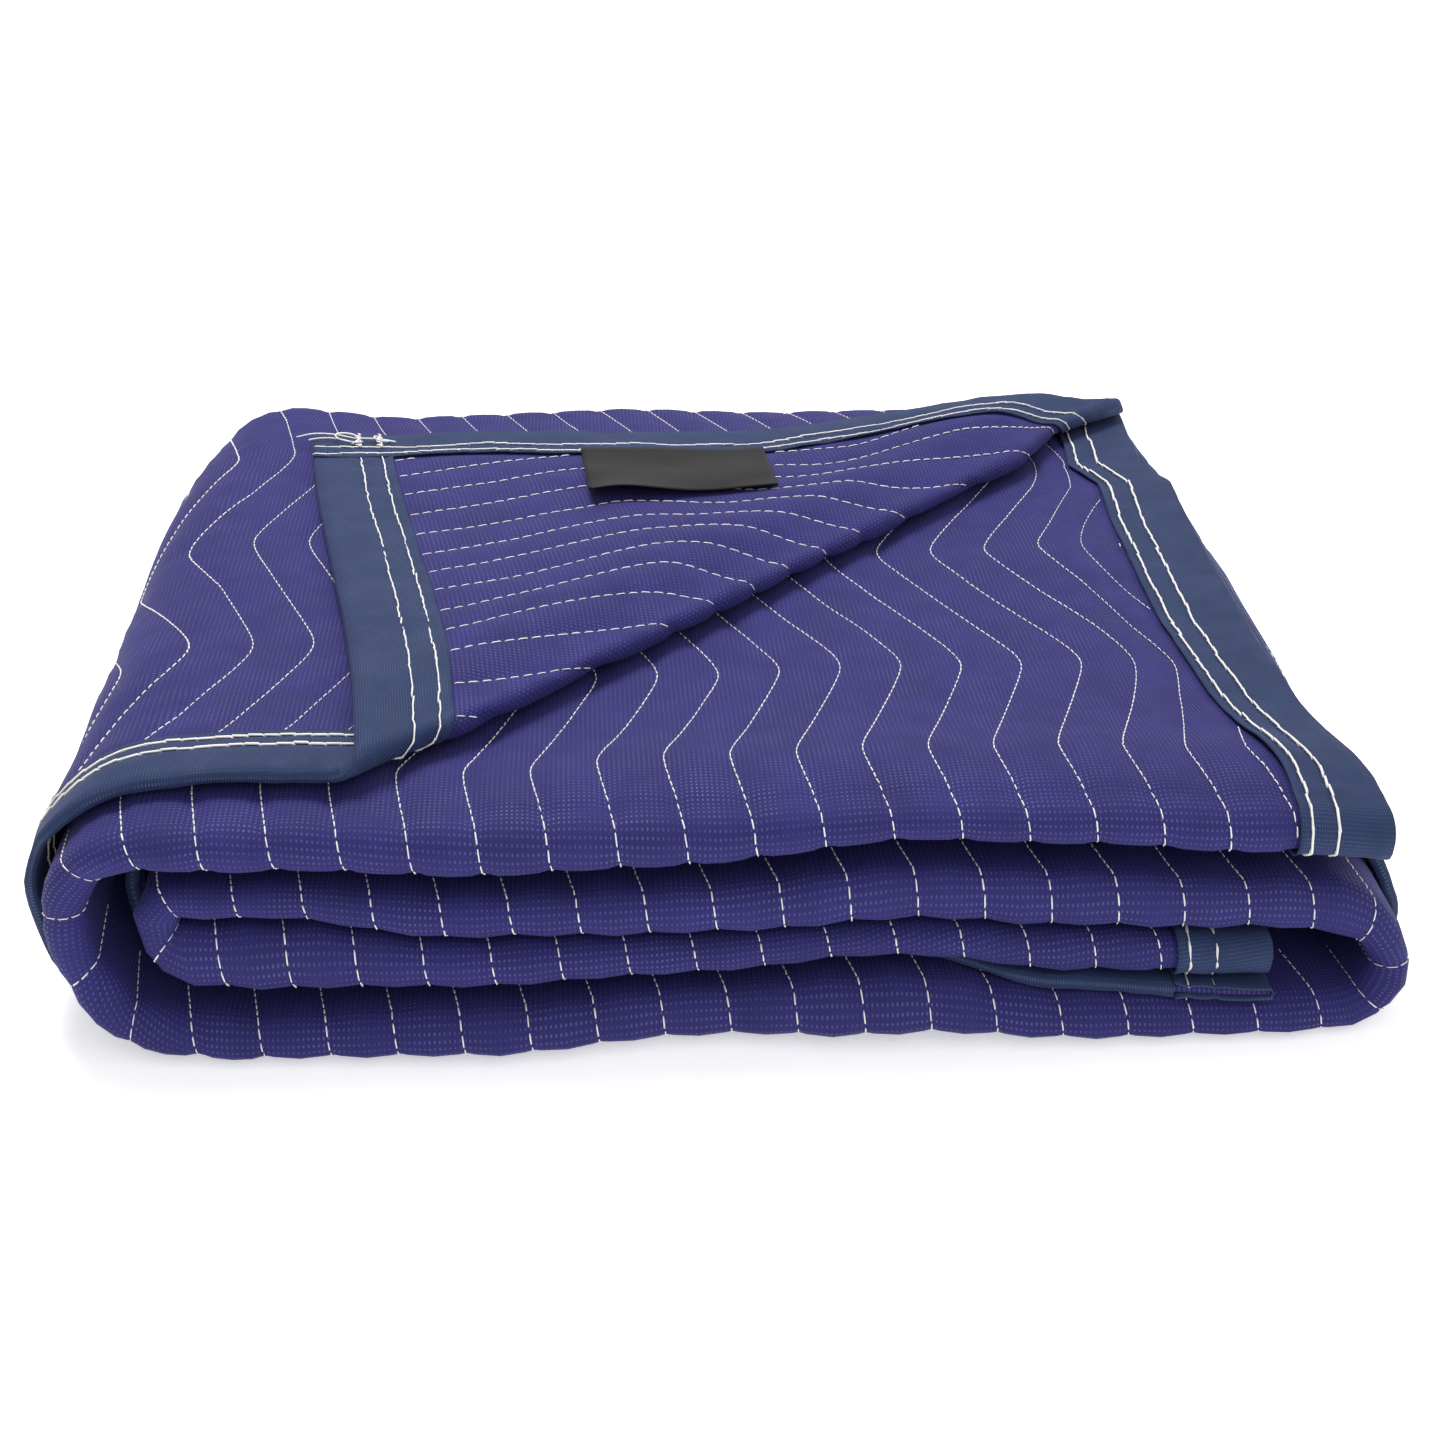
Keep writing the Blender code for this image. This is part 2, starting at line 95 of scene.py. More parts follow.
# %% Sizes of the flat blanket
LENGTH = 2.011
WIDTH = 1.796
CLOTH = 0.0046
EDGE_CLOTH = 0.0019
BINDING = 0.0368
TAPE = 0.0008
FIT = 0.0004
ROW_PITCH = 0.0254
ROW_OFFSET = 0.0080
WAVE_PEAKS = (0.006, 0.132, 0.248, 0.364, 0.484, 0.604, 0.724, 0.844, 0.963, 1.050, 1.176, 1.290, 1.400, 1.520,
              1.640, 1.760, 1.880)
WAVE_SWINGS = (0.018, 0.024, 0.014, 0.018, 0.018, 0.018, 0.018, 0.008, 0.011, 0.015, 0.030, 0.020, 0.018, 0.018,
               0.018, 0.018, 0.018)

# %% Sizes of the folded stack
PITCH = CLOTH + 0.0020
LEFT_END = -0.260
RIGHT_END = 0.278
TOP_BAND_END = 0.2545
SIDE_SETBACK = 0.020
INNER_SIDE_SETBACK = 0.040
FRONT_TURN = PITCH + CLOTH / 2
SIDE_RADII = (1.5 * PITCH, PITCH, 0.5 * PITCH)
BACK_TURN = (WIDTH - math.pi * sum(SIDE_RADII) + SIDE_SETBACK + INNER_SIDE_SETBACK + 2 * FRONT_TURN) / 4
PLY_LEGS = (BACK_TURN - SIDE_SETBACK, BACK_TURN - FRONT_TURN, BACK_TURN - FRONT_TURN,
            BACK_TURN - INNER_SIDE_SETBACK)
TOP_PLY = 1.5 * PITCH
HALF_BUNDLE = TOP_PLY + CLOTH / 2

BAND = 4 * PITCH
BAND_RADII = (1.5 * BAND, BAND, 0.5 * BAND)
LEFT_TURN = LEFT_END + BAND_RADII[0] + HALF_BUNDLE
RIGHT_TURN = RIGHT_END - BAND_RADII[1] - HALF_BUNDLE
INNER_TURN = LEFT_TURN + 0.008
BAND_LEGS = (TOP_BAND_END - LEFT_TURN, RIGHT_TURN - LEFT_TURN, RIGHT_TURN - INNER_TURN,
             LENGTH - math.pi * sum(BAND_RADII) - TOP_BAND_END - 2 * RIGHT_TURN + 2 * LEFT_TURN + INNER_TURN)
TOP_BAND_HEIGHT = HALF_BUNDLE + 3 * BAND
print("stack depth, mm:", round(1000 * (BACK_TURN + HALF_BUNDLE)))


# %% Easing
def smooth(t):
    """Runs from 0 to 1 with level ends, for t from 0 to 1: three t squared less two t cubed."""
    t = np.clip(t, 0.0, 1.0)
    return t * t * (3.0 - 2.0 * t)


def eased(x, places, values):
    """Passes through the values at their places, level at each, with an S curve between neighbours."""
    places, values = np.asarray(places, float), np.asarray(values, float)
    cell = np.clip(np.searchsorted(places, x) - 1, 0, len(places) - 2)
    share = smooth((x - places[cell]) / (places[cell + 1] - places[cell]))
    return values[cell] * (1.0 - share) + values[cell + 1] * share


# %% Rolling a strip
def rolled(s, offset, legs, radii):
    """A strip rolled up: straight legs joined by half circles that all bend the same way.

    A point on leg k is its start plus or minus the length gone, and on a turn it is the turn's centre plus the
    radius times (sine, cosine). The offset moves it along the normal, to the outside of the roll.
    """
    a, b, normal_a, normal_b = np.zeros((4, *s.shape))
    start, a_start, b_start, heading = 0.0, 0.0, 0.0, 1.0
    for k, leg in enumerate(legs):
        on_leg = (s >= start) | (k == 0)
        a[on_leg] = a_start + heading * (s[on_leg] - start)
        b[on_leg] = b_start
        normal_a[on_leg], normal_b[on_leg] = 0.0, heading
        start, a_start = start + leg, a_start + heading * leg
        if k == len(legs) - 1:
            break
        on_turn = s >= start
        angle = (s[on_turn] - start) / radii[k]
        a[on_turn] = a_start + heading * radii[k] * np.sin(angle)
        b[on_turn] = b_start - heading * radii[k] * (1.0 - np.cos(angle))
        normal_a[on_turn], normal_b[on_turn] = heading * np.sin(angle), heading * np.cos(angle)
        start, b_start, heading = start + math.pi * radii[k], b_start - heading * 2 * radii[k], -heading
    return a + offset * normal_a, b + offset * normal_b


# %% [markdown]
# ## The turned-back corner
# The corner is folded over a soft round along a slanting line. Its distance behind that line decides everything:
# below zero it lies flat, for half a turn it goes round, and past that it lies upside down on its own ply.

# %% Turning the corner back
CORNER_ALONG = 0.396
CORNER_ACROSS = 0.424
CORNER_RADIUS = 0.0042
CORNER_STEPS = (0.0, 0.032, 0.078, 0.130, 0.300)
CORNER_LIFTS = (0.0, 0.0075, 0.0040, 0.0, 0.0)
RIPPLE_PLACES = (0.0, 0.122, 0.228, 0.334, 0.440)
RIPPLE_LIFTS = (0.0, 0.0040, 0.0, 0.0025, 0.0)
CORNER_SLIP = 0.025
CORNER_DROP = 0.012
CORNER_BOW = 0.026
BOW_FADE = 0.10
FOLD_RUN = math.hypot(CORNER_ALONG, CORNER_ACROSS)
FOLD_U, FOLD_V = -CORNER_ACROSS / FOLD_RUN, -CORNER_ALONG / FOLD_RUN
FOLD_REACH = CORNER_ALONG * CORNER_ACROSS / FOLD_RUN
HALF_ROUND = math.pi * CORNER_RADIUS

SLIP_PLACES = (0.0, 0.25, 0.38, 0.44, 0.50, 0.545, 0.60, 1.14, 1.35, 1.60, 1.85, 1.91, LENGTH)
SLIPS = (0.0, 0.000, 0.005, 0.008, 0.003, 0.009, 0.022, 0.022, 0.016, 0.014, 0.006, -0.012, -0.022)


def slip(u):
    """How far the outer side lies behind its setback at u."""
    return np.interp(u, SLIP_PLACES, SLIPS)


def behind_fold(u, v):
    """Distance of a flat point behind the corner's fold line, below zero on the ply's side."""
    return FOLD_REACH + u * FOLD_U + v * FOLD_V


def on_top_ply(u, v):
    """True on the part of the blanket that is the top ply of the top band."""
    return (u < BAND_LEGS[0]) & (v + slip(u) < PLY_LEGS[0])


def fold_corner(u, v, w):
    """Turns the corner: d behind the fold becomes R sin(d/R) for half a turn, then runs back, upside down."""
    d = np.where(on_top_ply(u, v), behind_fold(u, v), -1.0)
    angle = np.clip(d / CORNER_RADIUS, 0.0, math.pi)
    back = np.maximum(d - HALF_ROUND, 0.0)
    across = np.where(d > 0.0, (CORNER_RADIUS - w) * np.sin(angle) - back, d)
    height = np.where(d > 0.0, CORNER_RADIUS - (CORNER_RADIUS - w) * np.cos(angle), w)
    ripple = eased(v, RIPPLE_PLACES, RIPPLE_LIFTS) * smooth(back / CORNER_STEPS[2])
    height = height + eased(back, CORNER_STEPS, CORNER_LIFTS) + ripple
    shift = across - d
    swing = CORNER_SLIP * smooth(back / FOLD_REACH)
    bow = CORNER_BOW * np.sin(math.pi * np.clip(v / CORNER_ACROSS, 0.0, 1.0)) * smooth(back / BOW_FADE)
    bow = bow + CORNER_DROP * smooth(back / FOLD_REACH)
    return u + shift * FOLD_U + swing, v + shift * FOLD_V - bow, height


# %% [markdown]
# ## Settling
# A soft stack isn't even. The table gives, at eight places along the front, how far the joints between the bands
# have risen or sunk and how far each band's front swells, in millimetres. The space itself is bent with it, so
# plies that didn't touch still don't.

# %% How the stack has settled
SETTLED = np.array([
    (-0.265, 1.0, 5.0, 5.0, 0.0, -2.0, -8.0, -6.0, 0.0),
    (-0.170, -8.0, 5.5, -1.0, 1.5, 5.0, 1.0, -3.0, 1.0),
    (-0.090, -4.0, -4.5, -4.5, 1.0, 9.0, 3.0, 0.0, 2.0),
    (-0.005, -2.0, -5.0, -2.0, 2.0, 0.0, 2.0, 1.0, 2.0),
    (0.070, 4.0, -3.0, 7.0, 2.0, 9.0, 0.0, 1.0, 3.0),
    (0.137, -6.0, -7.0, 2.5, 0.0, 11.0, 2.0, 2.0, 2.0),
    (0.205, -9.5, -11.0, -4.0, -3.0, 10.0, 2.0, 2.0, 1.0),
    (0.275, -13.0, -22.0, -11.0, -9.0, 2.0, -2.0, 0.0, 0.0),
])
SETTLED_DEPTH = 0.16
DRAW_IN_START = 0.395
LEFT_DRAW_IN = 0.012
LEFT_DRAW_FROM = -0.06
LEFT_DRAW_RUN = 0.20
RIGHT_DRAW_IN = 0.006
RIGHT_DRAW_FROM = 0.10
RIGHT_DRAW_RUN = 0.17
END_DRAW_PLACES = (0.03, 0.10, 0.17, 0.28, 0.335, 0.365, 0.41, 0.45)
END_DRAWS = (0.0, 0.010, 0.0145, 0.012, 0.008, 0.017, 0.012, 0.004)
END_DRAW_FROM = 0.17
END_DRAW_RUN = 0.05
END_DRAW_PLIES = 0.7
BACK_PLACES = (-0.22, -0.14, -0.04, 0.07, 0.17, 0.25)
BACK_RISES = (0.001, -0.006, -0.004, -0.008, -0.008, -0.003)
LIP_DROOP = 0.0050
LIP_DEPTH = 0.0125
LIP_BOTTOM = 0.0066
LIP_HEIGHT = 0.025

CREST_RISE = 0.005
CREST_DEPTH = 0.038
CREST_WIDTH = 0.028


def settle(x, y, z):
    """Bends space: lifts and swells fade with the depth as a bell curve, and the back corners draw in."""
    stations = SETTLED[:, 0]
    cell = np.clip(np.searchsorted(stations, x) - 1, 0, len(stations) - 2)
    share = smooth((x - stations[cell]) / (stations[cell + 1] - stations[cell]))[:, None]
    row = 0.001 * (SETTLED[cell, 1:] * (1.0 - share) + SETTLED[cell + 1, 1:] * share)
    index = np.arange(len(x))
    level = np.clip(z / BAND, 0.0, 4.0)
    below = np.minimum(level.astype(int), 3)
    part = level - below
    lifts = np.concatenate([np.zeros((len(x), 1)), row[:, :4]], axis=1)
    lift = lifts[index, below] * (1.0 - part) + lifts[index, below + 1] * part
    middles = np.array([0.0, 0.5, 1.5, 2.5, 3.5, 4.5]) * BAND
    swells = np.concatenate([row[:, 4:5], row[:, 4:], row[:, 7:8]], axis=1)
    slot = np.clip(np.searchsorted(middles, z) - 1, 0, 4)
    part = smooth((z - middles[slot]) / (middles[slot + 1] - middles[slot]))
    swell = swells[index, slot] * (1.0 - part) + swells[index, slot + 1] * part
    near = np.exp(-(np.maximum(y, 0.0) / SETTLED_DEPTH) ** 2)
    lip = LIP_DROOP * (1.0 - smooth(y / LIP_DEPTH)) * (1.0 - smooth((z - LIP_BOTTOM) / LIP_HEIGHT))
    back = np.clip((y - DRAW_IN_START) / (BACK_TURN + HALF_BUNDLE - DRAW_IN_START), 0.0, 1.0)
    left, right = smooth((LEFT_DRAW_FROM - x) / LEFT_DRAW_RUN), smooth((x - RIGHT_DRAW_FROM) / RIGHT_DRAW_RUN)
    rise = back * smooth(z / (4 * BAND)) * eased(x, BACK_PLACES, BACK_RISES)
    crest = CREST_RISE * np.exp(-((y - CREST_DEPTH) / CREST_WIDTH) ** 2) * smooth(z / BAND - 3.0)
    pulled = smooth((z / BAND - 3.0) / END_DRAW_PLIES) * smooth((x - END_DRAW_FROM) / END_DRAW_RUN)
    draw = np.interp(y, END_DRAW_PLACES, END_DRAWS) * pulled
    return (x + LEFT_DRAW_IN * back * left - RIGHT_DRAW_IN * back * right - draw, y - swell * near,
            z + lift * near - lip + rise + crest)


def fold(u, v, w):
    """The whole mapping: corner, roll across the width, roll along the length, settling. Gives (n, 3) points."""
    corner_u, corner_v, height = fold_corner(u, v, w)
    y, h = rolled(corner_v + slip(corner_u), height, PLY_LEGS, SIDE_RADII)
    along, z = rolled(corner_u, h + TOP_PLY, BAND_LEGS, BAND_RADII)
    return np.stack(settle(TOP_BAND_END - along, y + SIDE_SETBACK, z + TOP_BAND_HEIGHT), axis=1)


# %% [markdown]
# ## Relief of the quilted cloth
# Each row of stitches pulls the two faces together, so the cloth is thin along the rows and puffs up between
# them. Random heights on a lattice, eased between, give the small unevenness of the filling.

# %% Random unevenness
def uneven(u, v, size, seed):
    """Smooth random heights from -1 to 1: random values on a square lattice of that size, eased between."""
    lattice = np.random.default_rng(seed).uniform(-1.0, 1.0, (97, 97))
    a, b = u / size, v / size
    i, j = np.floor(a).astype(int), np.floor(b).astype(int)
    x, y = smooth(a - i), smooth(b - j)
    near = lattice[i % 97, j % 97] * (1 - x) + lattice[(i + 1) % 97, j % 97] * x
    far = lattice[i % 97, (j + 1) % 97] * (1 - x) + lattice[(i + 1) % 97, (j + 1) % 97] * x
    return near * (1 - y) + far * y


# %% Quilting rows
ROUNDED = 0.960


def row_swing(row):
    """Rows zigzag from peak to peak: a triangle wave whose peaks are rounded, the arcsine of a reduced cosine."""
    place = np.interp(row, WAVE_PEAKS, np.arange(len(WAVE_PEAKS)))
    cell = np.clip(place.astype(int), 0, len(WAVE_PEAKS) - 2)
    start, end = (np.array(WAVE_SWINGS)[cell + k] * (-1.0) ** (cell + k) for k in (0, 1))
    wave = np.arcsin(ROUNDED * np.cos(math.pi * (place - cell))) / math.asin(ROUNDED)
    return (start + end) / 2 + (start - end) / 2 * wave


def from_row(u, v):
    """Distance along the length from the nearest row of quilting."""
    place = (u - ROW_OFFSET - row_swing(v + slip(u))) / ROW_PITCH
    return ROW_PITCH * np.abs(place - np.round(place))


# %% Thickness and drift of the cloth
VALLEY_HALF = 0.0010
VALLEY_WIDTH = 0.0042
PUFF_SHARE = 0.06
PUFF_SIZE = 0.021
RISE_FROM_BINDING = 0.006
DRIFTS = ((0.00022, 0.016, 5), (0.00030, 0.034, 6))
OPEN_DRIFTS = ((0.0010, 0.075, 7, 0.8), (0.0008, 0.040, 8, 0.7))
SIDE_INNER = WIDTH - BINDING - FIT
END_INNER = LENGTH - BINDING - FIT


def half_thickness(u, v):
    """Half the cloth: least on a row, rising to full as one less a bell curve, and thin under the binding."""
    pillow = 1.0 - np.exp(-(from_row(u, v) / VALLEY_WIDTH) ** 2)
    puff = CLOTH / 2 * (1.0 + PUFF_SHARE * uneven(u, v, PUFF_SIZE, 3))
    body = VALLEY_HALF + (puff - VALLEY_HALF) * pillow
    edge = np.minimum(np.minimum(u, LENGTH - u), np.minimum(v, WIDTH - v))
    return EDGE_CLOTH / 2 + (body - EDGE_CLOTH / 2) * smooth((edge - BINDING - FIT) / RISE_FROM_BINDING)


TOP_BAND_REACH = 2.6
TOP_BAND_FADE = 0.05
TOP_PLY_REACH = 0.03
TOP_PLY_FADE = 0.02
SHELTERED = 0.012
SHELTER_FADE = 0.035
SECOND_PLY_FADE = 0.01
BARE_REACH = 0.02
FRONT_REACH = 0.012


def open_to_air(u, v):
    """1 where nothing lies on the outer face of the cloth and 0 deep in the stack."""
    s = v + slip(u)
    top_band = 1.0 - smooth((u - BAND_LEGS[0] - BAND_RADII[0] * TOP_BAND_REACH) / TOP_BAND_FADE)
    top_ply = 1.0 - smooth((s - PLY_LEGS[0] - TOP_PLY_REACH) / TOP_PLY_FADE)
    front = PLY_LEGS[0] + PLY_LEGS[1] + math.pi * SIDE_RADII[0]
    second = s - front - math.pi * SIDE_RADII[1]
    over_second = behind_fold(u, second + SIDE_SETBACK - FRONT_TURN)
    bare = smooth((over_second - SHELTERED) / SHELTER_FADE) * smooth(second / SECOND_PLY_FADE)
    bare = bare * (u < BAND_LEGS[0] + BARE_REACH)
    fold_front = smooth(1.0 - np.abs(s - front - math.pi * SIDE_RADII[1] / 2) / FRONT_REACH)
    return np.clip(np.maximum(np.maximum(top_band * top_ply, bare), fold_front), 0.0, 1.0)


def drift(u, v):
    """How far the middle of the cloth strays from its ply: a little inside the stack, more in the open."""
    small = sum(amount * uneven(u, v, size, seed) for amount, size, seed in DRIFTS)
    large = sum(amount * (uneven(u, v, size, seed) + lean) for amount, size, seed, lean in OPEN_DRIFTS)
    return small + open_to_air(u, v) * large


def on_cloth(u, v, w):
    """Height of a point at w from the middle of the cloth, wherever the cloth has drifted."""
    return drift(u, v) + w


def cloth_surface(u, v, side):
    """Height w of the cloth's face on that side, +1 outer or -1 inner."""
    return drift(u, v) + side * half_thickness(u, v)


# %% [markdown]
# ## The cloth
# The cloth is one closed slab: two skins of the same grid joined round the edge. Grid lines follow the quilting
# rows, so a few of them draw each valley cleanly. The top band, which shows most, has more grid lines across
# than the bands inside the stack.

# %% Grid lines
def spaced(breaks, steps):
    """Points that pass through the breaks, in each stretch no further apart than its step."""
    parts = [np.linspace(a, b, max(1, math.ceil((b - a) / step)), endpoint=False)
             for a, b, step in zip(breaks[:-1], breaks[1:], steps)]
    return np.concatenate([*parts, [breaks[-1]]])


TURNS = np.cumsum([PLY_LEGS[0], math.pi * SIDE_RADII[0], PLY_LEGS[1], math.pi * SIDE_RADII[1], PLY_LEGS[2],
                   math.pi * SIDE_RADII[2]])
BESIDE_FRONT = 0.02
ROW_BREAKS = (0.0, BINDING + FIT, TURNS[0], TURNS[1], TURNS[2] - BESIDE_FRONT, TURNS[2], TURNS[3],
              TURNS[3] + BESIDE_FRONT, TURNS[4], TURNS[5], WIDTH - BINDING - FIT, WIDTH)
FINE_ROWS = spaced(ROW_BREAKS, (0.006, 0.0058, 0.0045, 0.060, 0.0050, 0.0026, 0.0045, 0.0058, 0.0035, 0.060, 0.013))
COARSE_ROWS = spaced(ROW_BREAKS, (0.013, 0.032, 0.0050, 0.060, 0.0070, 0.0026, 0.0070, 0.042, 0.0050, 0.060, 0.013))
NO_CLOSER = 0.0011
ALL_ROWS = np.unique(np.concatenate([FINE_ROWS, COARSE_ROWS]).round(6))
crowded = np.concatenate([[False], np.diff(ALL_ROWS) < NO_CLOSER])
coarse_set = np.isin(ALL_ROWS, COARSE_ROWS.round(6))
ALL_ROWS = ALL_ROWS[~crowded | coarse_set]
IS_COARSE = np.isin(ALL_ROWS, COARSE_ROWS.round(6))

FIRST_ROW = 3
ROW_COUNT = 79
WITHIN_PITCH = np.array([0.0, 0.0021, 0.0052, 0.0127, 0.0202, 0.0233])
WITHIN_PITCH_COARSE = np.array([0.0, 0.0030, 0.0127, 0.0224])
TOP_PART = BAND_LEGS[0] + math.pi * BAND_RADII[0]
split_row = math.ceil(TOP_PART / ROW_PITCH)
fine_columns = (ROW_OFFSET + np.arange(FIRST_ROW, split_row)[:, None] * ROW_PITCH + WITHIN_PITCH).ravel()
coarse_columns = (ROW_OFFSET + np.arange(split_row, ROW_COUNT)[:, None] * ROW_PITCH + WITHIN_PITCH_COARSE).ravel()
quilting_start = ROW_OFFSET + FIRST_ROW * ROW_PITCH
edge_columns = np.concatenate([[0.0, 0.013, 0.026], np.arange(BINDING + FIT, quilting_start - 0.002, 0.003)])
COLUMNS = np.concatenate([edge_columns, fine_columns, coarse_columns[coarse_columns < END_INNER - 0.006],
                          [END_INNER, LENGTH - 0.020, LENGTH]])
SPLIT = len(edge_columns) + len(fine_columns)
print("grid:", len(COLUMNS), "columns,", len(ALL_ROWS), "rows,", int(IS_COARSE.sum()), "of them coarse")


# %% Flat slab
EASE_TO_SIDES = 0.06
EASE_TO_ENDS = 0.05
FOLLOW_STEPS = 4


def slipped(u, row):
    """The flat v of a grid row: it keeps its place in the fold, except near the two straight sides."""
    easing = (BINDING + FIT, TURNS[0] - EASE_TO_SIDES, TURNS[5] + EASE_TO_SIDES, SIDE_INNER)
    hold = np.interp(row, easing, (0.0, 1.0, 1.0, 0.0))
    return row - slip(u) * hold


def on_row(column, row):
    """Where a grid column crosses a row: it follows the zigzag, which fades in behind the end bindings."""
    fade = smooth((column - BINDING) / EASE_TO_ENDS) * smooth((END_INNER - column) / EASE_TO_ENDS)
    u = column + 0.0 * row
    for _ in range(FOLLOW_STEPS):
        u = column + fade * row_swing(slipped(u, row) + slip(u))
    return u


def skin_faces(index, split, is_coarse):
    """Quads of a grid whose columns past the split keep only the coarse rows, with one strip of wider faces."""
    fine = index[:split]
    faces = [np.stack([fine[:-1, :-1], fine[1:, :-1], fine[1:, 1:], fine[:-1, 1:]], axis=-1).reshape(-1, 4)]
    coarse = index[split:][:, is_coarse]
    squares = [coarse[:-1, :-1], coarse[1:, :-1], coarse[1:, 1:], coarse[:-1, 1:]]
    faces.append(np.stack(squares, axis=-1).reshape(-1, 4))
    kept = np.flatnonzero(is_coarse)
    strip = [[*index[split - 1, a:b + 1][::-1], index[split, a], index[split, b]]
             for a, b in zip(kept[:-1], kept[1:])]
    return [face.tolist() for block in faces for face in block] + [[int(k) for k in face] for face in strip]


# %% [markdown]
# The slab is first made flat as a mesh, because the corner's fold line crosses the grid at a slant: cutting the
# flat mesh along that line and a few beside it gives the fold a clean round. Then every point is folded at once.

# %% Making the slab
CUT_SHORT_OF_TURN = 0.03
CUT_PAST_LEG = 0.012
SNAP = 2e-4
FOLD_CUTS = np.linspace(-0.002, HALF_ROUND + 0.002, 9)


def flat_slab():
    """The closed flat slab; w is +1 on the outer skin and -1 on the inner one until the relief is known."""
    u = on_row(COLUMNS[:, None], ALL_ROWS[None, :])
    v = slipped(u, ALL_ROWS[None, :])
    exists = (np.arange(len(COLUMNS))[:, None] < SPLIT) | IS_COARSE[None, :]
    index = np.full(u.shape, -1)
    index[exists] = np.arange(exists.sum())
    count = int(exists.sum())
    points = np.stack([u[exists], v[exists]], axis=1)
    outer = np.concatenate([points, np.ones((count, 1))], axis=1)
    inner = np.concatenate([points, -np.ones((count, 1))], axis=1)
    top = skin_faces(index, SPLIT, IS_COARSE)
    bottom = [[k + count for k in face[::-1]] for face in top]
    last = index[-1][IS_COARSE]
    rims = [index[0], index[:, 0], index[:, -1], last]
    walls = []
    for rim, flip in zip(rims, (True, False, True, False)):
        rim = rim[rim >= 0]
        for a, b in zip(rim[:-1], rim[1:]):
            wall = [int(a), int(b), int(b) + count, int(a) + count]
            walls.append(wall[::-1] if flip else wall)
    mesh = bpy.data.meshes.new("quilted_cloth_sewn")
    mesh.from_pydata(np.concatenate([outer, inner]).tolist(), [], top + bottom + walls)
    return mesh


def cut_along_fold(mesh, distances):
    """Cuts the flat mesh's top ply along lines at those distances behind the corner's fold."""
    work = bmesh.new()
    work.from_mesh(mesh)
    reach = BAND_LEGS[0] - CUT_SHORT_OF_TURN
    side = PLY_LEGS[0] + CUT_PAST_LEG
    for distance in distances:
        faces = [f for f in work.faces if all(p.co.x < reach and p.co.y < side for p in f.verts)]
        parts = {p for f in faces for p in f.verts} | {e for f in faces for e in f.edges} | set(faces)
        point = (-FOLD_U * (FOLD_REACH - distance), -FOLD_V * (FOLD_REACH - distance), 0.0)
        bmesh.ops.bisect_plane(work, geom=list(parts), dist=SNAP, plane_co=point, plane_no=(FOLD_U, FOLD_V, 0.0))
    bmesh.ops.recalc_face_normals(work, faces=work.faces[:])
    work.to_mesh(mesh)
    work.free()


def face_outward(mesh):
    """Turns every face of a closed mesh outward."""
    work = bmesh.new()
    work.from_mesh(mesh)
    bmesh.ops.recalc_face_normals(work, faces=work.faces[:])
    work.to_mesh(mesh)
    work.free()


def fold_mesh(mesh, height, place_shift):
    """Folds a flat mesh in place, and keeps each point's flat place in metres as the attribute flat_place."""
    flat = np.empty(len(mesh.vertices) * 3)
    mesh.vertices.foreach_get("co", flat)
    u, v, w = flat.reshape(-1, 3).T
    kept = mesh.attributes.new("flat_place", "FLOAT_VECTOR", "POINT")
    kept.data.foreach_set("vector", flat)
    places = fold(u, v, height(u, v, w)) + place_shift
    mesh.vertices.foreach_set("co", places.ravel())
    mesh.shade_smooth()
    mesh.update()
    return places


def add_object(name, mesh):
    """Links a mesh as an object at the origin."""
    thing = bpy.data.objects.new(name, mesh)
    bpy.context.scene.collection.objects.link(thing)
    return thing


cloth_mesh = flat_slab()
cut_along_fold(cloth_mesh, FOLD_CUTS)
folded = fold_mesh(cloth_mesh, cloth_surface, np.zeros(3))
PLACE_SHIFT = np.append((cad_low + cad_high)[:2] / 2 - (folded.min(axis=0) + folded.max(axis=0))[:2] / 2,
                        cad_low[2] - folded[:, 2].min())
cloth_mesh.vertices.foreach_set("co", (folded + PLACE_SHIFT).ravel())
cloth_mesh.update()
cloth = add_object("cloth", cloth_mesh)
print("cloth:", sum(len(p.vertices) - 2 for p in cloth_mesh.polygons), "triangles, shift", PLACE_SHIFT.round(4))

# %% [markdown]
# ## Bindings
# The binding is a tape of non-woven cloth, folded over the edge and sewn through by two rows of chain stitch.
# Its section is drawn once and carried along each edge. The stitches press two grooves in it, and the tape
# puckers a little between them.

# %% The tape's section
ROW_FROM_LAP = (0.0050, 0.0152)
GROOVE_DEPTH = 0.0005
GROOVE_WIDTH = 0.0016
PUCKERS = ((0.00034, 0.5, 0.0062, 21), (0.00045, 1.0, 0.017, 22))
LAP_LIFT = 0.0006
LAP_LIFT_WIDTH = 0.003
SIDE_LIFT = 0.0002
LAP_WOBBLE = 0.0005
LAP_ZONE = 0.004
REVERSE_SHIFT = 0.37
TAPE_STEP = 0.0040
TURN_STEP = 0.003
FRONT_STEP = 0.0026
ACROSS_TAPE = np.array([0.0, 0.0022, 0.0036, 0.0050, 0.0064, 0.0080, 0.0108, 0.0128, 0.0140, 0.0152, 0.0164, 0.0180,
                        0.0215, 0.0262, 0.0315, BINDING])


def tape_height(along, from_lap, side):
    """Outer height of the tape: half the cloth, less two bell-shaped grooves, plus puckers."""
    grooves = sum(np.exp(-((from_lap - row) / GROOVE_WIDTH) ** 2) for row in ROW_FROM_LAP)
    pucker = sum(amount * uneven(along, from_lap * share, size, seed) for amount, share, size, seed in PUCKERS)
    lap_lift = LAP_LIFT * smooth(1.0 - from_lap / LAP_LIFT_WIDTH)
    return CLOTH / 2 - GROOVE_DEPTH * grooves + pucker + lap_lift + SIDE_LIFT * side


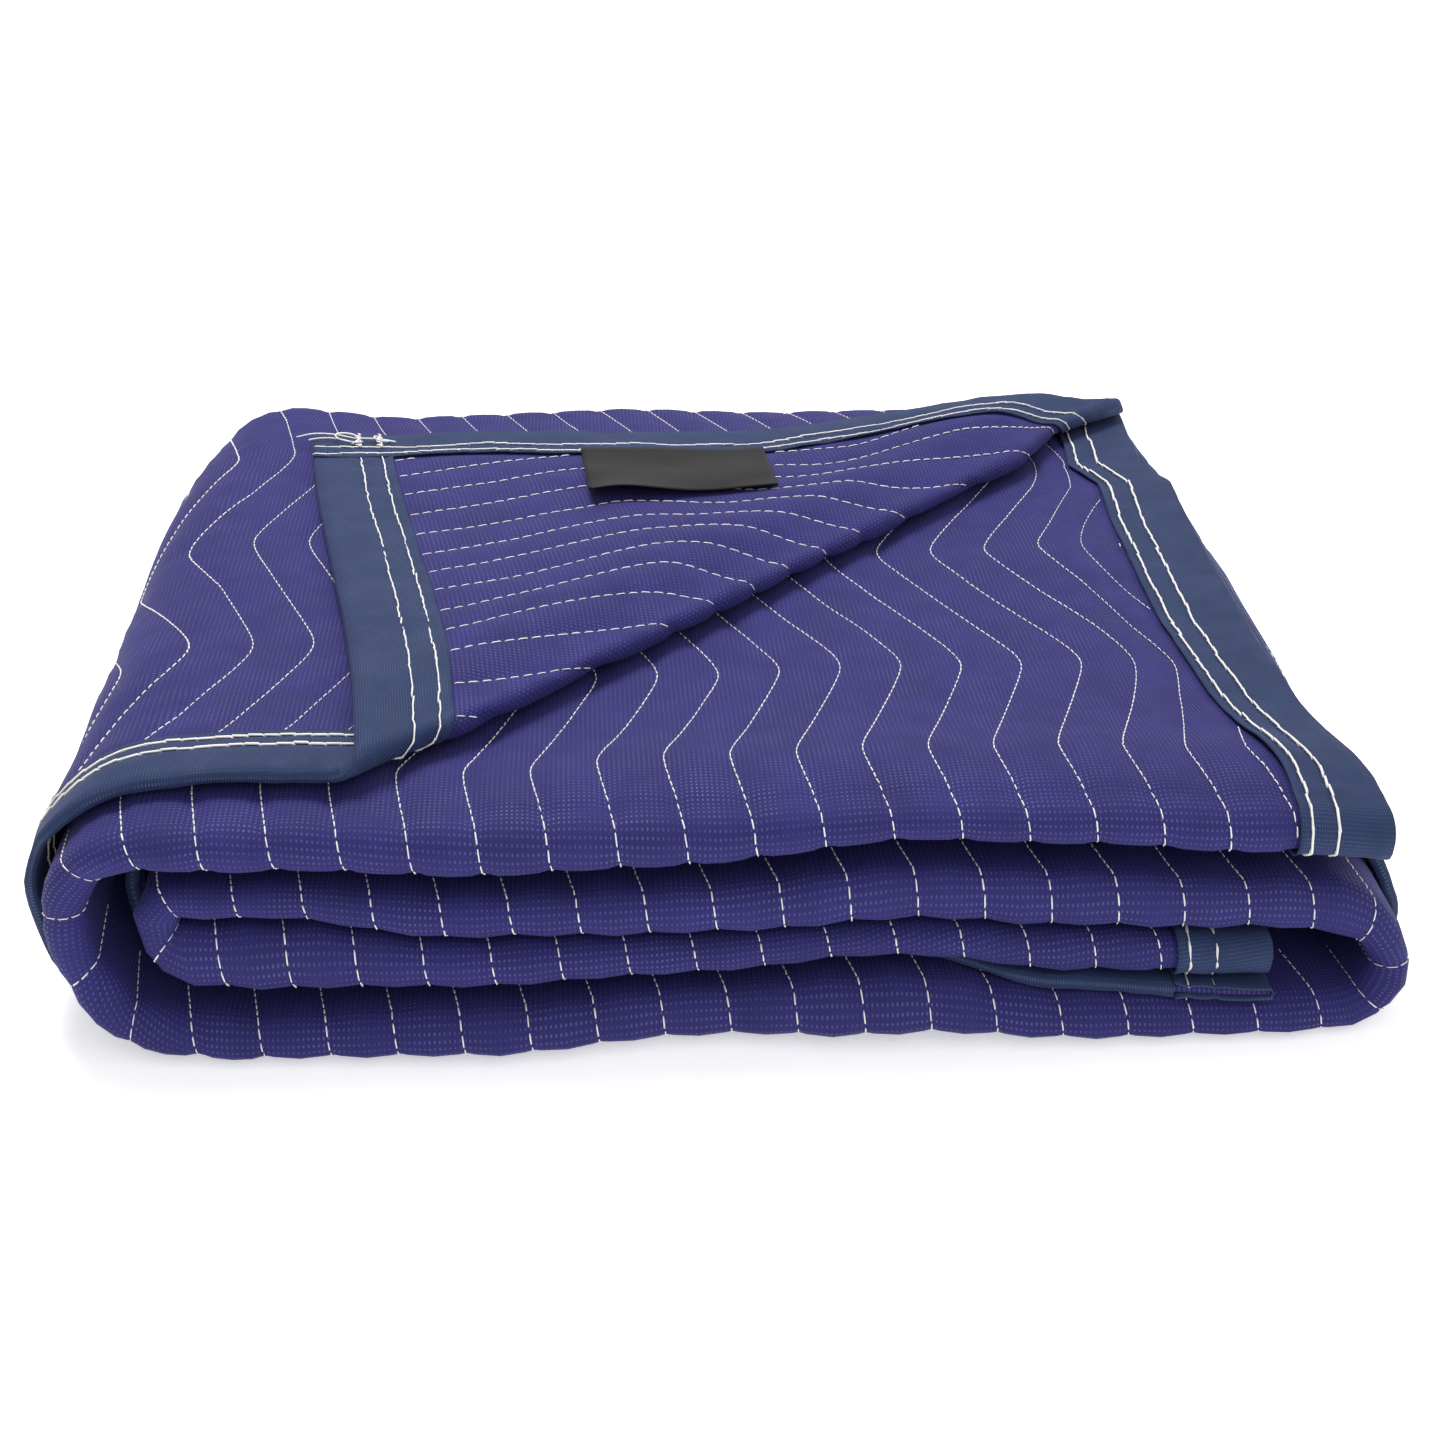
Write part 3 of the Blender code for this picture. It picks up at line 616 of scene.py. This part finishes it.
def tape_ring(stations, edge, inward):
    """The tape's closed section at each station: out along one wall, round the edge and back, then inside it."""
    from_lap = ACROSS_TAPE[None, :]
    along = stations[:, None] + 0 * from_lap
    position = edge + inward * (BINDING - from_lap) + 0 * along
    wobble = LAP_WOBBLE * uneven(along, along * 0, 0.03, 23) * inward
    outer_up = tape_height(along, from_lap, 1)
    outer_down = -tape_height(along + REVERSE_SHIFT, from_lap, -1)
    inner_up, inner_down = outer_up - TAPE, outer_down + TAPE
    turn = edge - inward * (FIT + TAPE)
    nose = np.stack([np.full(len(stations), turn), np.zeros(len(stations))], axis=-1)[:, None]
    hollow = np.stack([np.full(len(stations), edge - inward * FIT), np.zeros(len(stations))], axis=-1)[:, None]
    lap_pull = wobble * (from_lap < LAP_ZONE)
    walls = [np.stack([position + lap_pull, h], axis=-1) for h in (outer_up, outer_down, inner_up, inner_down)]
    return np.concatenate([walls[0], nose, walls[1][:, ::-1], walls[3], hollow, walls[2][:, ::-1]], axis=1)


# %% Carrying the tape along an edge
def tape_mesh(name, stations, edge, inward, along_length):
    """Flat mesh of the tape along a side (stations are u) or an end (stations are rows across the width)."""
    ring = tape_ring(stations, edge, inward)
    along = np.broadcast_to(stations[:, None], ring.shape[:2])
    if along_length:
        u, v = along, ring[..., 0]
    else:
        u, v = ring[..., 0], slipped(ring[..., 0], along)
    points = np.stack([u, v, ring[..., 1]], axis=-1)
    count, size, _ = points.shape
    index = np.arange(count * size).reshape(count, size)
    wrapped = np.concatenate([index, index[:, :1]], axis=1)
    squares = [wrapped[:-1, :-1], wrapped[1:, :-1], wrapped[1:, 1:], wrapped[:-1, 1:]]
    faces = np.stack(squares, axis=-1).reshape(-1, 4)
    half = size // 2
    caps = [[int(i) for i in (a, b, d, c)] for end in (index[0], index[-1])
            for a, b, c, d in zip(end[:half - 1], end[1:half], end[half:][::-1], end[half:][::-1][1:])]
    mesh = bpy.data.meshes.new(name)
    mesh.from_pydata(points.reshape(-1, 3).tolist(), [], faces.tolist() + caps)
    return mesh


def add_tape(name, stations, edge, inward, along_length):
    """Makes one binding, cuts it along the corner's fold where it crosses, and folds it into place."""
    mesh = tape_mesh(name, stations, edge, inward, along_length)
    cut_along_fold(mesh, FOLD_CUTS)
    fold_mesh(mesh, on_cloth, PLACE_SHIFT)
    return add_object(name, mesh)


side_stations = spaced((BINDING + FIT, END_INNER), (TAPE_STEP,))
end_breaks = (-FIT - TAPE, TURNS[0], TURNS[1], TURNS[2] - BESIDE_FRONT, TURNS[3] + BESIDE_FRONT, TURNS[4],
              TURNS[5], WIDTH + FIT + TAPE)
end_stations = spaced(end_breaks, (TAPE_STEP, TURN_STEP, TAPE_STEP, FRONT_STEP, TAPE_STEP, TURN_STEP, TAPE_STEP))
BINDINGS = {
    "outer_side_tape": (side_stations, 0.0, 1.0, True, "outer_side_binding"),
    "inner_side_tape": (side_stations, WIDTH, -1.0, True, "inner_side_binding"),
    "outer_end_tape": (end_stations, 0.0, 1.0, False, "outer_end_binding"),
    "inner_end_tape": (end_stations, LENGTH, -1.0, False, "inner_end_binding"),
}
tapes = {name: add_tape(name, *spec[:4]) for name, spec in BINDINGS.items()}
print("tapes:", {name: len(tape.data.polygons) for name, tape in tapes.items()})

# %% [markdown]
# ## Label
# A small black woven label is caught under the end binding of the turned corner. It is left bare.

# %% The label
LABEL_START = 0.125
LABEL_WIDTH = 0.084
LABEL_DROP = 0.076
LABEL_SLANT = -0.009
LABEL_CLOTH = 0.0008
LABEL_CURL = 0.006
LABEL_CAUGHT = 0.004
LABEL_MEAN = 0.55
LABEL_SWING = 0.45
LABEL_RIPPLE = 0.15
LABEL_RIPPLES = 9.0


def label_mesh():
    """A thin slab that rises towards its free edge as a square of the distance, with a wave along it."""
    across, down = np.linspace(0.0, 1.0, 40)[:, None], np.linspace(0.0, 1.0, 26)[None, :]
    run = LABEL_START + LABEL_WIDTH * across + LABEL_SLANT * down
    drop = BINDING - LABEL_CAUGHT + (LABEL_DROP + LABEL_CAUGHT) * down + 0 * across
    swing = LABEL_SWING * np.cos(math.pi * (1.0 + across))
    wave = LABEL_MEAN - swing + LABEL_RIPPLE * np.sin(LABEL_RIPPLES * across)
    lift = CLOTH / 2 + FIT + LABEL_CURL * down ** 2 * wave
    near = np.stack([drop, run, -lift], axis=-1)
    far = np.stack([drop, run, -lift - LABEL_CLOTH], axis=-1)
    count, size = run.shape
    index = np.arange(count * size).reshape(count, size)
    quads = np.stack([index[:-1, :-1], index[1:, :-1], index[1:, 1:], index[:-1, 1:]], axis=-1).reshape(-1, 4)
    total = count * size
    rim = np.concatenate([index[:-1, 0], index[-1, :-1], index[:0:-1, -1], index[0, :0:-1]])
    after = np.roll(rim, -1)
    walls = np.stack([rim, after, after + total, rim + total], axis=-1)
    mesh = bpy.data.meshes.new("label")
    points = np.concatenate([near.reshape(-1, 3), far.reshape(-1, 3)])
    mesh.from_pydata(points.tolist(), [], quads[:, ::-1].tolist() + (quads + total).tolist() + walls.tolist())
    face_outward(mesh)
    return mesh


label_flat = label_mesh()
fold_mesh(label_flat, on_cloth, PLACE_SHIFT)
label = add_object("label", label_flat)

# %% [markdown]
# ## Stitches
# A stitch is a short piece of thread that comes up out of the cloth, lies on it and goes down again. Thousands
# are needed, so each has only four rings of four points. They are laid out flat beside their row, all at once,
# and folded like everything else.

# %% Many stitches in one mesh
THREAD_SIDES = 4
RING_ANGLES = np.arange(THREAD_SIDES) * 2 * math.pi / THREAD_SIDES
STITCH_RUN = np.array([-0.5, -0.32, 0.32, 0.5])
STITCH_RISE = np.array([-0.9, 0.55, 0.55, -0.9])
STITCH_GIRTH = np.array([0.55, 1.0, 1.0, 0.55])
STITCH_LIFT = 0.0001
END_LIFT = 0.0003
END_LIFT_FROM = 0.085
END_LIFT_RUN = 0.03
LENGTH_RANGE = (0.88, 1.08)
WIDTH_RANGE = (0.85, 1.12)
LEAN = 0.05


def stitch_mesh(name, u, v, toward_u, toward_v, side, surface, length, width, seed):
    """One mesh of threads: each is a tube of four sides along its direction, sunk at both ends."""
    chance = np.random.default_rng(seed)
    count = len(u)
    length = (length * chance.uniform(*LENGTH_RANGE, count))[:, None, None]
    width = (width * chance.uniform(*WIDTH_RANGE, count))[:, None, None]
    size = np.hypot(toward_u, toward_v)
    lean = chance.normal(0.0, LEAN, count)
    tu, tv = toward_u / size - lean * toward_v / size, toward_v / size + lean * toward_u / size
    run = length * STITCH_RUN[None, :, None]
    spread = 0.5 * width * STITCH_GIRTH[None, :, None] * np.cos(RING_ANGLES)[None, None, :]
    ring = STITCH_GIRTH[None, :, None] * np.sin(RING_ANGLES)[None, None, :]
    rise = 0.5 * width * (STITCH_RISE[None, :, None] + ring)
    point_u = u[:, None, None] + run * tu[:, None, None] - spread * tv[:, None, None]
    point_v = v[:, None, None] + run * tv[:, None, None] + spread * tu[:, None, None]
    near_end = 1.0 - smooth((u - END_LIFT_FROM) / END_LIFT_RUN)
    base = surface(u, v, side) + side * (STITCH_LIFT + END_LIFT * near_end)
    point_w = base[:, None, None] + side[:, None, None] * rise
    points = np.stack([point_u, point_v, point_w], axis=-1).reshape(-1, 3)
    index = np.arange(count * 4 * THREAD_SIDES).reshape(count, 4, THREAD_SIDES)
    after = np.roll(index, -1, axis=2)
    quads = np.stack([index[:, :-1], after[:, :-1], after[:, 1:], index[:, 1:]], axis=-1)
    quads = np.where((side > 0)[:, None, None, None], quads, quads[..., ::-1]).reshape(-1, 4)
    caps = np.concatenate([np.where((side > 0)[:, None], index[:, 0, ::-1], index[:, 0]),
                           np.where((side > 0)[:, None], index[:, 3], index[:, 3, ::-1])])
    mesh = bpy.data.meshes.new(name)
    mesh.from_pydata(points.tolist(), [], quads.tolist() + caps.tolist())
    fold_mesh(mesh, lambda a, b, w: w, PLACE_SHIFT)
    return mesh


# %% Quilting stitches that can be seen
TOP_PITCH = 0.0040
TOP_LENGTH = 0.0032
TOP_THREAD = 0.00058
REVERSE_PITCH = 0.0055
REVERSE_LENGTH = 0.0046
REVERSE_THREAD = 0.00052
LEFT_MARGIN = 0.01
TURN_MARGIN = 0.02
FRONT_MARGIN = 0.03
BEFORE_FOLD = 0.005
PAST_FOLD = 0.006
CLEAR_OF_TAPE = 0.001
QUILTING_ROWS = ROW_OFFSET + np.arange(ROW_COUNT) * ROW_PITCH


def quilting_places(pitch):
    """Places (u, v) at that pitch along every row, the row's slope there, and the distance in the fold."""
    steps = np.arange(BINDING + 0.003, WIDTH - BINDING, pitch)
    straight, v = (grid.ravel() for grid in np.meshgrid(QUILTING_ROWS, steps, indexing="ij"))
    u = straight
    for _ in range(FOLLOW_STEPS):
        u = straight + row_swing(v + slip(u))
    inside = (u > BINDING + CLEAR_OF_TAPE) & (u < LENGTH - BINDING - CLEAR_OF_TAPE)
    u, v = u[inside], v[inside]
    s = v + slip(u)
    return u, v, (row_swing(s + 0.001) - row_swing(s - 0.001)) / 0.002, s


def add_quilting(name, places, seen, side, length, width):
    """Adds the stitches of one face that can be seen, as one object."""
    u, v, slope = (values[seen] for values in places[:3])
    mesh = stitch_mesh(name, u, v, slope, np.ones(len(u)), np.full(len(u), side), cloth_surface, length, width, 31)
    print(name, len(u), "stitches")
    return add_object(name, mesh)


outer_places = quilting_places(TOP_PITCH)
row_u, row_v, _, s_row = outer_places
behind = np.where(on_top_ply(row_u, row_v), behind_fold(row_u, row_v), -1.0)
top_length = row_u < BAND_LEGS[0]
right_turn = TOP_PART + BAND_LEGS[1]
right_turn_end = right_turn + math.pi * BAND_RADII[1]
side_turns = ((row_u > BAND_LEGS[0] - LEFT_MARGIN) & (row_u < TOP_PART + LEFT_MARGIN)) | (
    (row_u > right_turn - TURN_MARGIN) & (row_u < right_turn_end + TURN_MARGIN))
on_ply_four = (s_row < TURNS[1]) & (behind < BEFORE_FOLD) & (top_length | side_turns)
on_ply_two = (s_row > TURNS[3]) & (s_row < TURNS[4]) & top_length
at_front = (s_row > TURNS[2] - FRONT_MARGIN) & (s_row < TURNS[3] + FRONT_MARGIN)
at_back = (s_row > TURNS[0] - TURN_MARGIN) & (s_row < TURNS[1] + TURN_MARGIN)
top_quilting = add_quilting("top_quilting", outer_places, on_ply_four | on_ply_two, 1.0, TOP_LENGTH, TOP_THREAD)
edge_quilting = add_quilting("edge_quilting", outer_places, (at_front | at_back) & ~(on_ply_four | on_ply_two), 1.0,
                             TOP_LENGTH, TOP_THREAD)
inner_places = quilting_places(REVERSE_PITCH)
turned_back = on_top_ply(*inner_places[:2]) & (behind_fold(*inner_places[:2]) > PAST_FOLD)
reverse_quilting = add_quilting("reverse_quilting", inner_places, turned_back, -1.0, REVERSE_LENGTH, REVERSE_THREAD)
quilting = (top_quilting, edge_quilting, reverse_quilting)


# %% Binding stitches
CHAIN_MARGIN = 0.004
ROW_WANDER = 0.0006
STITCH_STRAY = 0.0002


def binding_rows(name, stations_span, edge, inward, along_length, pitch):
    """Two rows of stitches on both faces of one binding, as flat places, directions and sides."""
    places = np.arange(stations_span[0] + CHAIN_MARGIN, stations_span[1] - CHAIN_MARGIN, pitch)
    count = len(places)
    chance = np.random.default_rng(len(name))
    spots = []
    for row in ROW_FROM_LAP:
        for side in (1.0, -1.0):
            wander = ROW_WANDER * uneven(places, places * 0 + row, 0.05, 41)
            wander = wander + STITCH_STRAY * chance.normal(size=count)
            across = edge + inward * (BINDING - row) + wander
            along = places + pitch * 0.5 * (side > 0)
            if along_length:
                spots.append((along, across, np.ones(count), np.zeros(count), np.full(count, side)))
            else:
                spots.append((across, slipped(across, along), np.zeros(count), np.ones(count),
                              np.full(count, side)))
    return [np.concatenate(part) for part in zip(*spots)]


def on_tape(edge, inward, along_length):
    """The tape's face as a function of flat place and side, for stitches that lie on it."""
    def face(u, v, side):
        """Height of the tape's groove at a stitch."""
        across, along = (v, u) if along_length else (u, v)
        from_lap = BINDING - (across - edge) * inward
        return drift(u, v) + side * (tape_height(along, from_lap, side) + CHAIN_LIFT)
    return face


CHAIN_PITCH = 0.0062
CHAIN_LENGTH = 0.0084
CHAIN_WIDTH = 0.0011
CHAIN_LIFT = 0.0002
REVERSE_CHAIN = 0.0007
stitch_objects = {}
for name, (stations, edge, inward, along_length, node) in BINDINGS.items():
    spots = binding_rows(name, (stations[0], stations[-1]), edge, inward, along_length, CHAIN_PITCH)
    thread_name = name.replace("tape", "stitches")
    width = np.where(spots[4] > 0, CHAIN_WIDTH, REVERSE_CHAIN)
    mesh = stitch_mesh(thread_name, *spots, on_tape(edge, inward, along_length), CHAIN_LENGTH, width, 51)
    stitch_objects[thread_name] = add_object(thread_name, mesh)
print("binding stitches:", [len(thing.data.vertices) // (4 * THREAD_SIDES) for thing in stitch_objects.values()])

# %% [markdown]
# ### Loose ends
# Where the two bindings meet at the turned corner, the sewer ran back and forth over both rows and left the ends
# untrimmed. Each end is a thin tube swept along a path that is written on the flat corner, in millimetres from
# its two edges, and folded with the rest.

# %% Loose threads at the corner
END_THREAD = 0.0008
TACK_SWING = 1.3
TACK_START = 3.0
TACK_RUN = 20.0
THREAD_HEIGHT = 0.6
ROW_ACROSS = [1000 * (BINDING - row) for row in ROW_FROM_LAP]


def tack(row):
    """A row sewn over again: a narrow zigzag across the end binding, as (v, u, height) in millimetres."""
    run = np.linspace(0.0, 1.0, 40)
    across = row + TACK_SWING * np.sin(9.0 * math.pi * run)
    return np.stack([across, TACK_START + TACK_RUN * run, THREAD_HEIGHT + 0.3 * np.cos(20.0 * run)], axis=1)


def loop(centre, size, turns, rise):
    """A thread that curls round a centre, each turn a little smaller and higher."""
    run = np.linspace(0.0, 1.0, 48)
    angle = 2 * math.pi * turns * run
    reach = 1.0 - 0.3 * run
    return np.stack([centre[0] + size[0] * reach * np.cos(angle), centre[1] + size[1] * reach * np.sin(angle),
                     THREAD_HEIGHT + rise * np.sin(math.pi * run)], axis=1)


def tail(start, end, bow, rise):
    """A thread end that runs from start to end with a sideways bow and a rise in the middle."""
    run = np.linspace(0.0, 1.0, 24)
    hump = np.sin(math.pi * run)
    return np.stack([start[0] + (end[0] - start[0]) * run, start[1] + (end[1] - start[1]) * run + bow * hump,
                     0.7 + rise * hump], axis=1)


def swept_thread(path, width):
    """A tube of five sides along a path of (v, u, height), and its quads; rings face along the path."""
    angles = np.arange(5) * 2 * math.pi / 5
    ahead = np.gradient(path, axis=0)
    ahead = ahead / np.linalg.norm(ahead, axis=1)[:, None]
    aside = np.cross(ahead, (0.0, 0.0, 1.0))
    aside = aside / np.maximum(np.linalg.norm(aside, axis=1), 1e-9)[:, None]
    above = np.cross(aside, ahead)
    ring = np.cos(angles)[None, :, None] * aside[:, None] + np.sin(angles)[None, :, None] * above[:, None]
    points = (path[:, None] + 500 * width * ring).reshape(-1, 3)
    index = np.arange(len(points)).reshape(-1, 5)
    after = np.roll(index, -1, axis=1)
    quads = np.stack([index[:-1], after[:-1], after[1:], index[1:]], axis=-1).reshape(-1, 4)
    return points, quads.tolist() + [index[0, ::-1].tolist(), index[-1].tolist()]


def add_threads(name, paths, width):
    """Sweeps every path, lays the tubes on the reverse face of the corner and folds them."""
    points, faces, count = [], [], 0
    for path in paths:
        tube, quads = swept_thread(path, width)
        points.append(tube)
        faces.extend([[int(k) + count for k in quad] for quad in quads])
        count += len(tube)
    v, u, height = 0.001 * np.concatenate(points).T
    mesh = bpy.data.meshes.new(name)
    mesh.from_pydata(np.stack([u, v, -CLOTH / 2 - height], axis=1).tolist(), [], faces)
    face_outward(mesh)
    fold_mesh(mesh, on_cloth, PLACE_SHIFT)
    mesh.flip_normals()
    return add_object(name, mesh)


outer_row, inner_row = ROW_ACROSS[1], ROW_ACROSS[0]
tail_threads = add_threads("tail_threads", [
    tack(outer_row), tack(inner_row),
    loop((outer_row - 5.0, 15.0), (7.0, 5.5), 1.2, 3.0),
    loop((inner_row + 1.0, 13.0), (4.0, 6.0), 0.8, 2.0),
    tail((outer_row + 1.0, 12.0), (-9.0, 9.0), 1.5, 2.5),
    tail((outer_row - 1.0, 18.0), (-3.0, 15.0), -1.0, 1.5),
    tail((outer_row, 10.0), (inner_row + 8.0, 15.0), 2.0, 1.2),
], END_THREAD)
print("loose threads:", len(tail_threads.data.polygons), "faces")

# %% [markdown]
# ## Materials
# Colours are written as they look on screen and turned to the linear values that Blender mixes with.

# %% Colours and a node helper
def linear(hex_colour):
    """sRGB hex to linear: each channel to the power that the sRGB standard gives."""
    channels = [int(hex_colour[i:i + 2], 16) / 255 for i in (1, 3, 5)]
    return (*[c / 12.92 if c <= 0.04045 else ((c + 0.055) / 1.055) ** 2.4 for c in channels], 1.0)


def add_node(tree, kind, settings=None, **links):
    """Adds a node: settings are its properties or its sockets' values, and links name the sockets that feed it."""
    node = tree.nodes.new(kind)
    for key, value in (settings or {}).items():
        if isinstance(key, int) or key in node.inputs:
            node.inputs[key].default_value = value
        else:
            setattr(node, key, value)
    for key, source in links.items():
        socket = int(key[2:]) if key.startswith("in") else key.replace("_", " ")
        tree.links.new(source, node.inputs[socket])
    return node


# %% [markdown]
# ### Spun-bonded cloth
# The faces are non-woven polyester: loose fibres pressed together by a heated roller with a diamond pattern,
# which leaves small bonded dots. The fibres give a soft sheen, and the dots catch the light at a low angle.

# %% Quilted cloth finish
CLOTH_COLOUR = "#262265"
CLOTH_DEEP = "#1F1C57"
DOT_PITCH_MM = 2.7


def cloth_finish(name, colour, deep, dot_pitch_mm, bump):
    """Non-woven cloth: mottled colour, diamond dots and fibres as bump, sheen from the fibre ends, and on the
    dots a painted highlight, their colour lightened in patches.
    """
    finish = bpy.data.materials.new(name)
    finish.use_nodes = True
    tree = finish.node_tree
    shader = tree.nodes["Principled BSDF"]
    flat = add_node(tree, "ShaderNodeAttribute", {"attribute_name": "flat_place"}).outputs["Vector"]
    turned_45 = add_node(tree, "ShaderNodeMapping", {"Rotation": (0.0, 0.0, math.radians(45.0))}, Vector=flat)
    split = add_node(tree, "ShaderNodeSeparateXYZ", None, Vector=turned_45.outputs["Vector"])
    frequency = 2 * math.pi / (dot_pitch_mm * 0.001)
    waves = []
    for axis in ("X", "Y"):
        angle = add_node(tree, "ShaderNodeMath", {"operation": "MULTIPLY", 1: frequency}, in0=split.outputs[axis])
        waves.append(add_node(tree, "ShaderNodeMath", {"operation": "COSINE"}, in0=angle.outputs[0]).outputs[0])
    product = add_node(tree, "ShaderNodeMath", {"operation": "MULTIPLY"}, in0=waves[0], in1=waves[1])
    dots = add_node(tree, "ShaderNodeMapRange",
                    {"From Min": 0.45, "From Max": 0.85, "interpolation_type": "SMOOTHSTEP"},
                    Value=product.outputs[0])
    fibres = add_node(tree, "ShaderNodeTexNoise", {"Scale": 1400.0, "Detail": 3.0, "Roughness": 0.6}, Vector=flat)
    mottle = add_node(tree, "ShaderNodeTexNoise", {"Scale": 38.0, "Detail": 4.0, "Roughness": 0.6}, Vector=flat)
    cloudy = add_node(tree, "ShaderNodeMapRange", {"From Min": 0.3, "From Max": 0.7}, Value=mottle.outputs["Fac"])
    base = add_node(tree, "ShaderNodeMix", {"data_type": "RGBA", 6: linear(deep), 7: linear(colour)},
                    in0=cloudy.outputs[0])
    # A noise makes the dots stronger in some patches than in others, both in polish and in painted highlight.
    # Painted highlight: the bonded dots are screened towards a pale grey-violet in place of the light they catch.
    dot_highlight_paint = add_node(tree, "ShaderNodeMix", {"data_type": "RGBA", "blend_type": "SCREEN",
                                               7: linear("#3A3A52")}, in6=base.outputs[2])
    dot_patch_noise = add_node(tree, "ShaderNodeTexNoise", {"Scale": 60.0, "Detail": 3.0}, Vector=flat)
    patchy = add_node(tree, "ShaderNodeMapRange", {"From Min": 0.35, "From Max": 0.65, "To Min": 0.25},
                      Value=dot_patch_noise.outputs["Fac"])
    faint = add_node(tree, "ShaderNodeMath", {"operation": "MULTIPLY"}, in0=dots.outputs[0], in1=patchy.outputs[0])
    polish = add_node(tree, "ShaderNodeMapRange", {"To Min": 0.85, "To Max": 0.42}, Value=faint.outputs[0])
    tree.links.new(polish.outputs[0], shader.inputs["Roughness"])
    tree.links.new(faint.outputs[0], dot_highlight_paint.inputs[0])
    tree.links.new(dot_highlight_paint.outputs[2], shader.inputs["Base Color"])
    height = add_node(tree, "ShaderNodeMath", {"operation": "MULTIPLY_ADD", 1: -0.8}, in0=dots.outputs[0],
                      in2=fibres.outputs["Fac"])
    relief = add_node(tree, "ShaderNodeBump", {"Strength": bump, "Distance": 0.0002}, Height=height.outputs[0])
    tree.links.new(relief.outputs["Normal"], shader.inputs["Normal"])
    shader.inputs["Specular IOR Level"].default_value = 0.35
    shader.inputs["Sheen Weight"].default_value = 0.08
    shader.inputs["Sheen Roughness"].default_value = 0.45
    shader.inputs["Sheen Tint"].default_value = linear("#9A94E0")
    return finish


cloth_material = cloth_finish("spun-bonded quilted cloth", CLOTH_COLOUR, CLOTH_DEEP, DOT_PITCH_MM, 0.5)

# %% [markdown]
# ### Binding tape, thread and label
# The tape is the same kind of cloth in slate blue, with finer bonding. The thread is spun polyester, matt and
# off-white, and the label is a smooth black woven satin.

# %% Binding tape finish
tape_material = cloth_finish("spun-bonded binding tape", "#1F3155", "#192A4A", 1.5, 0.3)


# %% Plain finishes
def plain_finish(name, colour, roughness, sheen, gloss):
    """A matt finish with a fine noise in its bump, read from the object's own place."""
    finish = bpy.data.materials.new(name)
    finish.use_nodes = True
    tree = finish.node_tree
    shader = tree.nodes["Principled BSDF"]
    place = add_node(tree, "ShaderNodeTexCoord").outputs["Object"]
    grain = add_node(tree, "ShaderNodeTexNoise", {"Scale": 2500.0, "Detail": 2.0}, Vector=place)
    relief = add_node(tree, "ShaderNodeBump", {"Strength": 0.3, "Distance": 0.0001}, Height=grain.outputs["Fac"])
    tree.links.new(relief.outputs["Normal"], shader.inputs["Normal"])
    shader.inputs["Base Color"].default_value = linear(colour)
    shader.inputs["Roughness"].default_value = roughness
    shader.inputs["Sheen Weight"].default_value = sheen
    shader.inputs["Specular IOR Level"].default_value = gloss
    return finish


thread_material = plain_finish("spun polyester thread", "#E9E6E2", 0.7, 0.1, 0.5)
label_material = plain_finish("black satin label", "#060607", 0.5, 0.0, 0.2)

# %% [markdown]
# ## Dressing the frame
# Each new piece takes its finish, stands for its solid and rides on the blanket's one body.

# %% Finishes and frame calls
cloth.data.materials.append(cloth_material)
for tape in tapes.values():
    tape.data.materials.append(tape_material)
label.data.materials.append(label_material)
threads = (*quilting, *stitch_objects.values(), tail_threads)
for thing in threads:
    thing.data.materials.append(thread_material)

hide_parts("quilted_cloth")
for name, spec in BINDINGS.items():
    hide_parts(spec[4])
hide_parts("sewn_label")
for thing in (cloth, *tapes.values(), label, *threads):
    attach(thing, "root")

# %% [markdown]
# ## Floor and light
# The photograph has a white ground with faint shadows, so the floor is pale and the lamps are large and soft. The
# world is darker towards the left, because the left turn is in shade in the photograph.

# %% Floor
floor_mesh = bpy.data.meshes.new("floor")
floor_mesh.from_pydata([(-6, -6, 0), (6, -6, 0), (6, 6, 0), (-6, 6, 0)], [], [(0, 1, 2, 3)])
floor = add_object("floor", floor_mesh)
floor_material = bpy.data.materials.new("pale floor")
floor_material.use_nodes = True
floor_shader = floor_material.node_tree.nodes["Principled BSDF"]
floor_shader.inputs["Base Color"].default_value = linear("#FAFAFA")
floor_shader.inputs["Roughness"].default_value = 0.9
floor_shader.inputs["Emission Color"].default_value = linear("#FFFFFF")
floor_shader.inputs["Emission Strength"].default_value = 0.45
floor.data.materials.append(floor_material)
floor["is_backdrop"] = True


# %% Lights
def add_area(name, place, aim, size, power):
    """A square soft light at a place, turned so that its -Z looks at the aim."""
    data = bpy.data.lights.new(name, "AREA")
    data.shape, data.size, data.energy = "SQUARE", size, power
    lamp = bpy.data.objects.new(name, data)
    lamp.location = place
    lamp.rotation_euler = (Vector(aim) - Vector(place)).to_track_quat("-Z", "Y").to_euler()
    bpy.context.scene.collection.objects.link(lamp)
    return lamp


add_area("key", (-0.3, 0.4, 1.6), (0.0, 0.0, 0.05), 0.7, 25.0)
add_area("front fill", (0.3, -1.7, 1.0), (0.0, 0.0, 0.05), 1.5, 9.0)
world = bpy.data.worlds.new("studio")
bpy.context.scene.world = world
world.use_nodes = True
background = world.node_tree.nodes["Background"]
background.inputs["Color"].default_value = (1.0, 1.0, 1.0, 1.0)
direction = add_node(world.node_tree, "ShaderNodeTexCoord").outputs["Generated"]
sides = add_node(world.node_tree, "ShaderNodeSeparateXYZ", None, Vector=direction)
strength = add_node(world.node_tree, "ShaderNodeMapRange", {"From Min": -0.8, "From Max": 0.2, "To Min": 0.30,
                                                            "To Max": 0.78}, Value=sides.outputs["X"])
world.node_tree.links.new(strength.outputs[0], background.inputs["Strength"])
bpy.context.scene.view_settings.view_transform = "Standard"
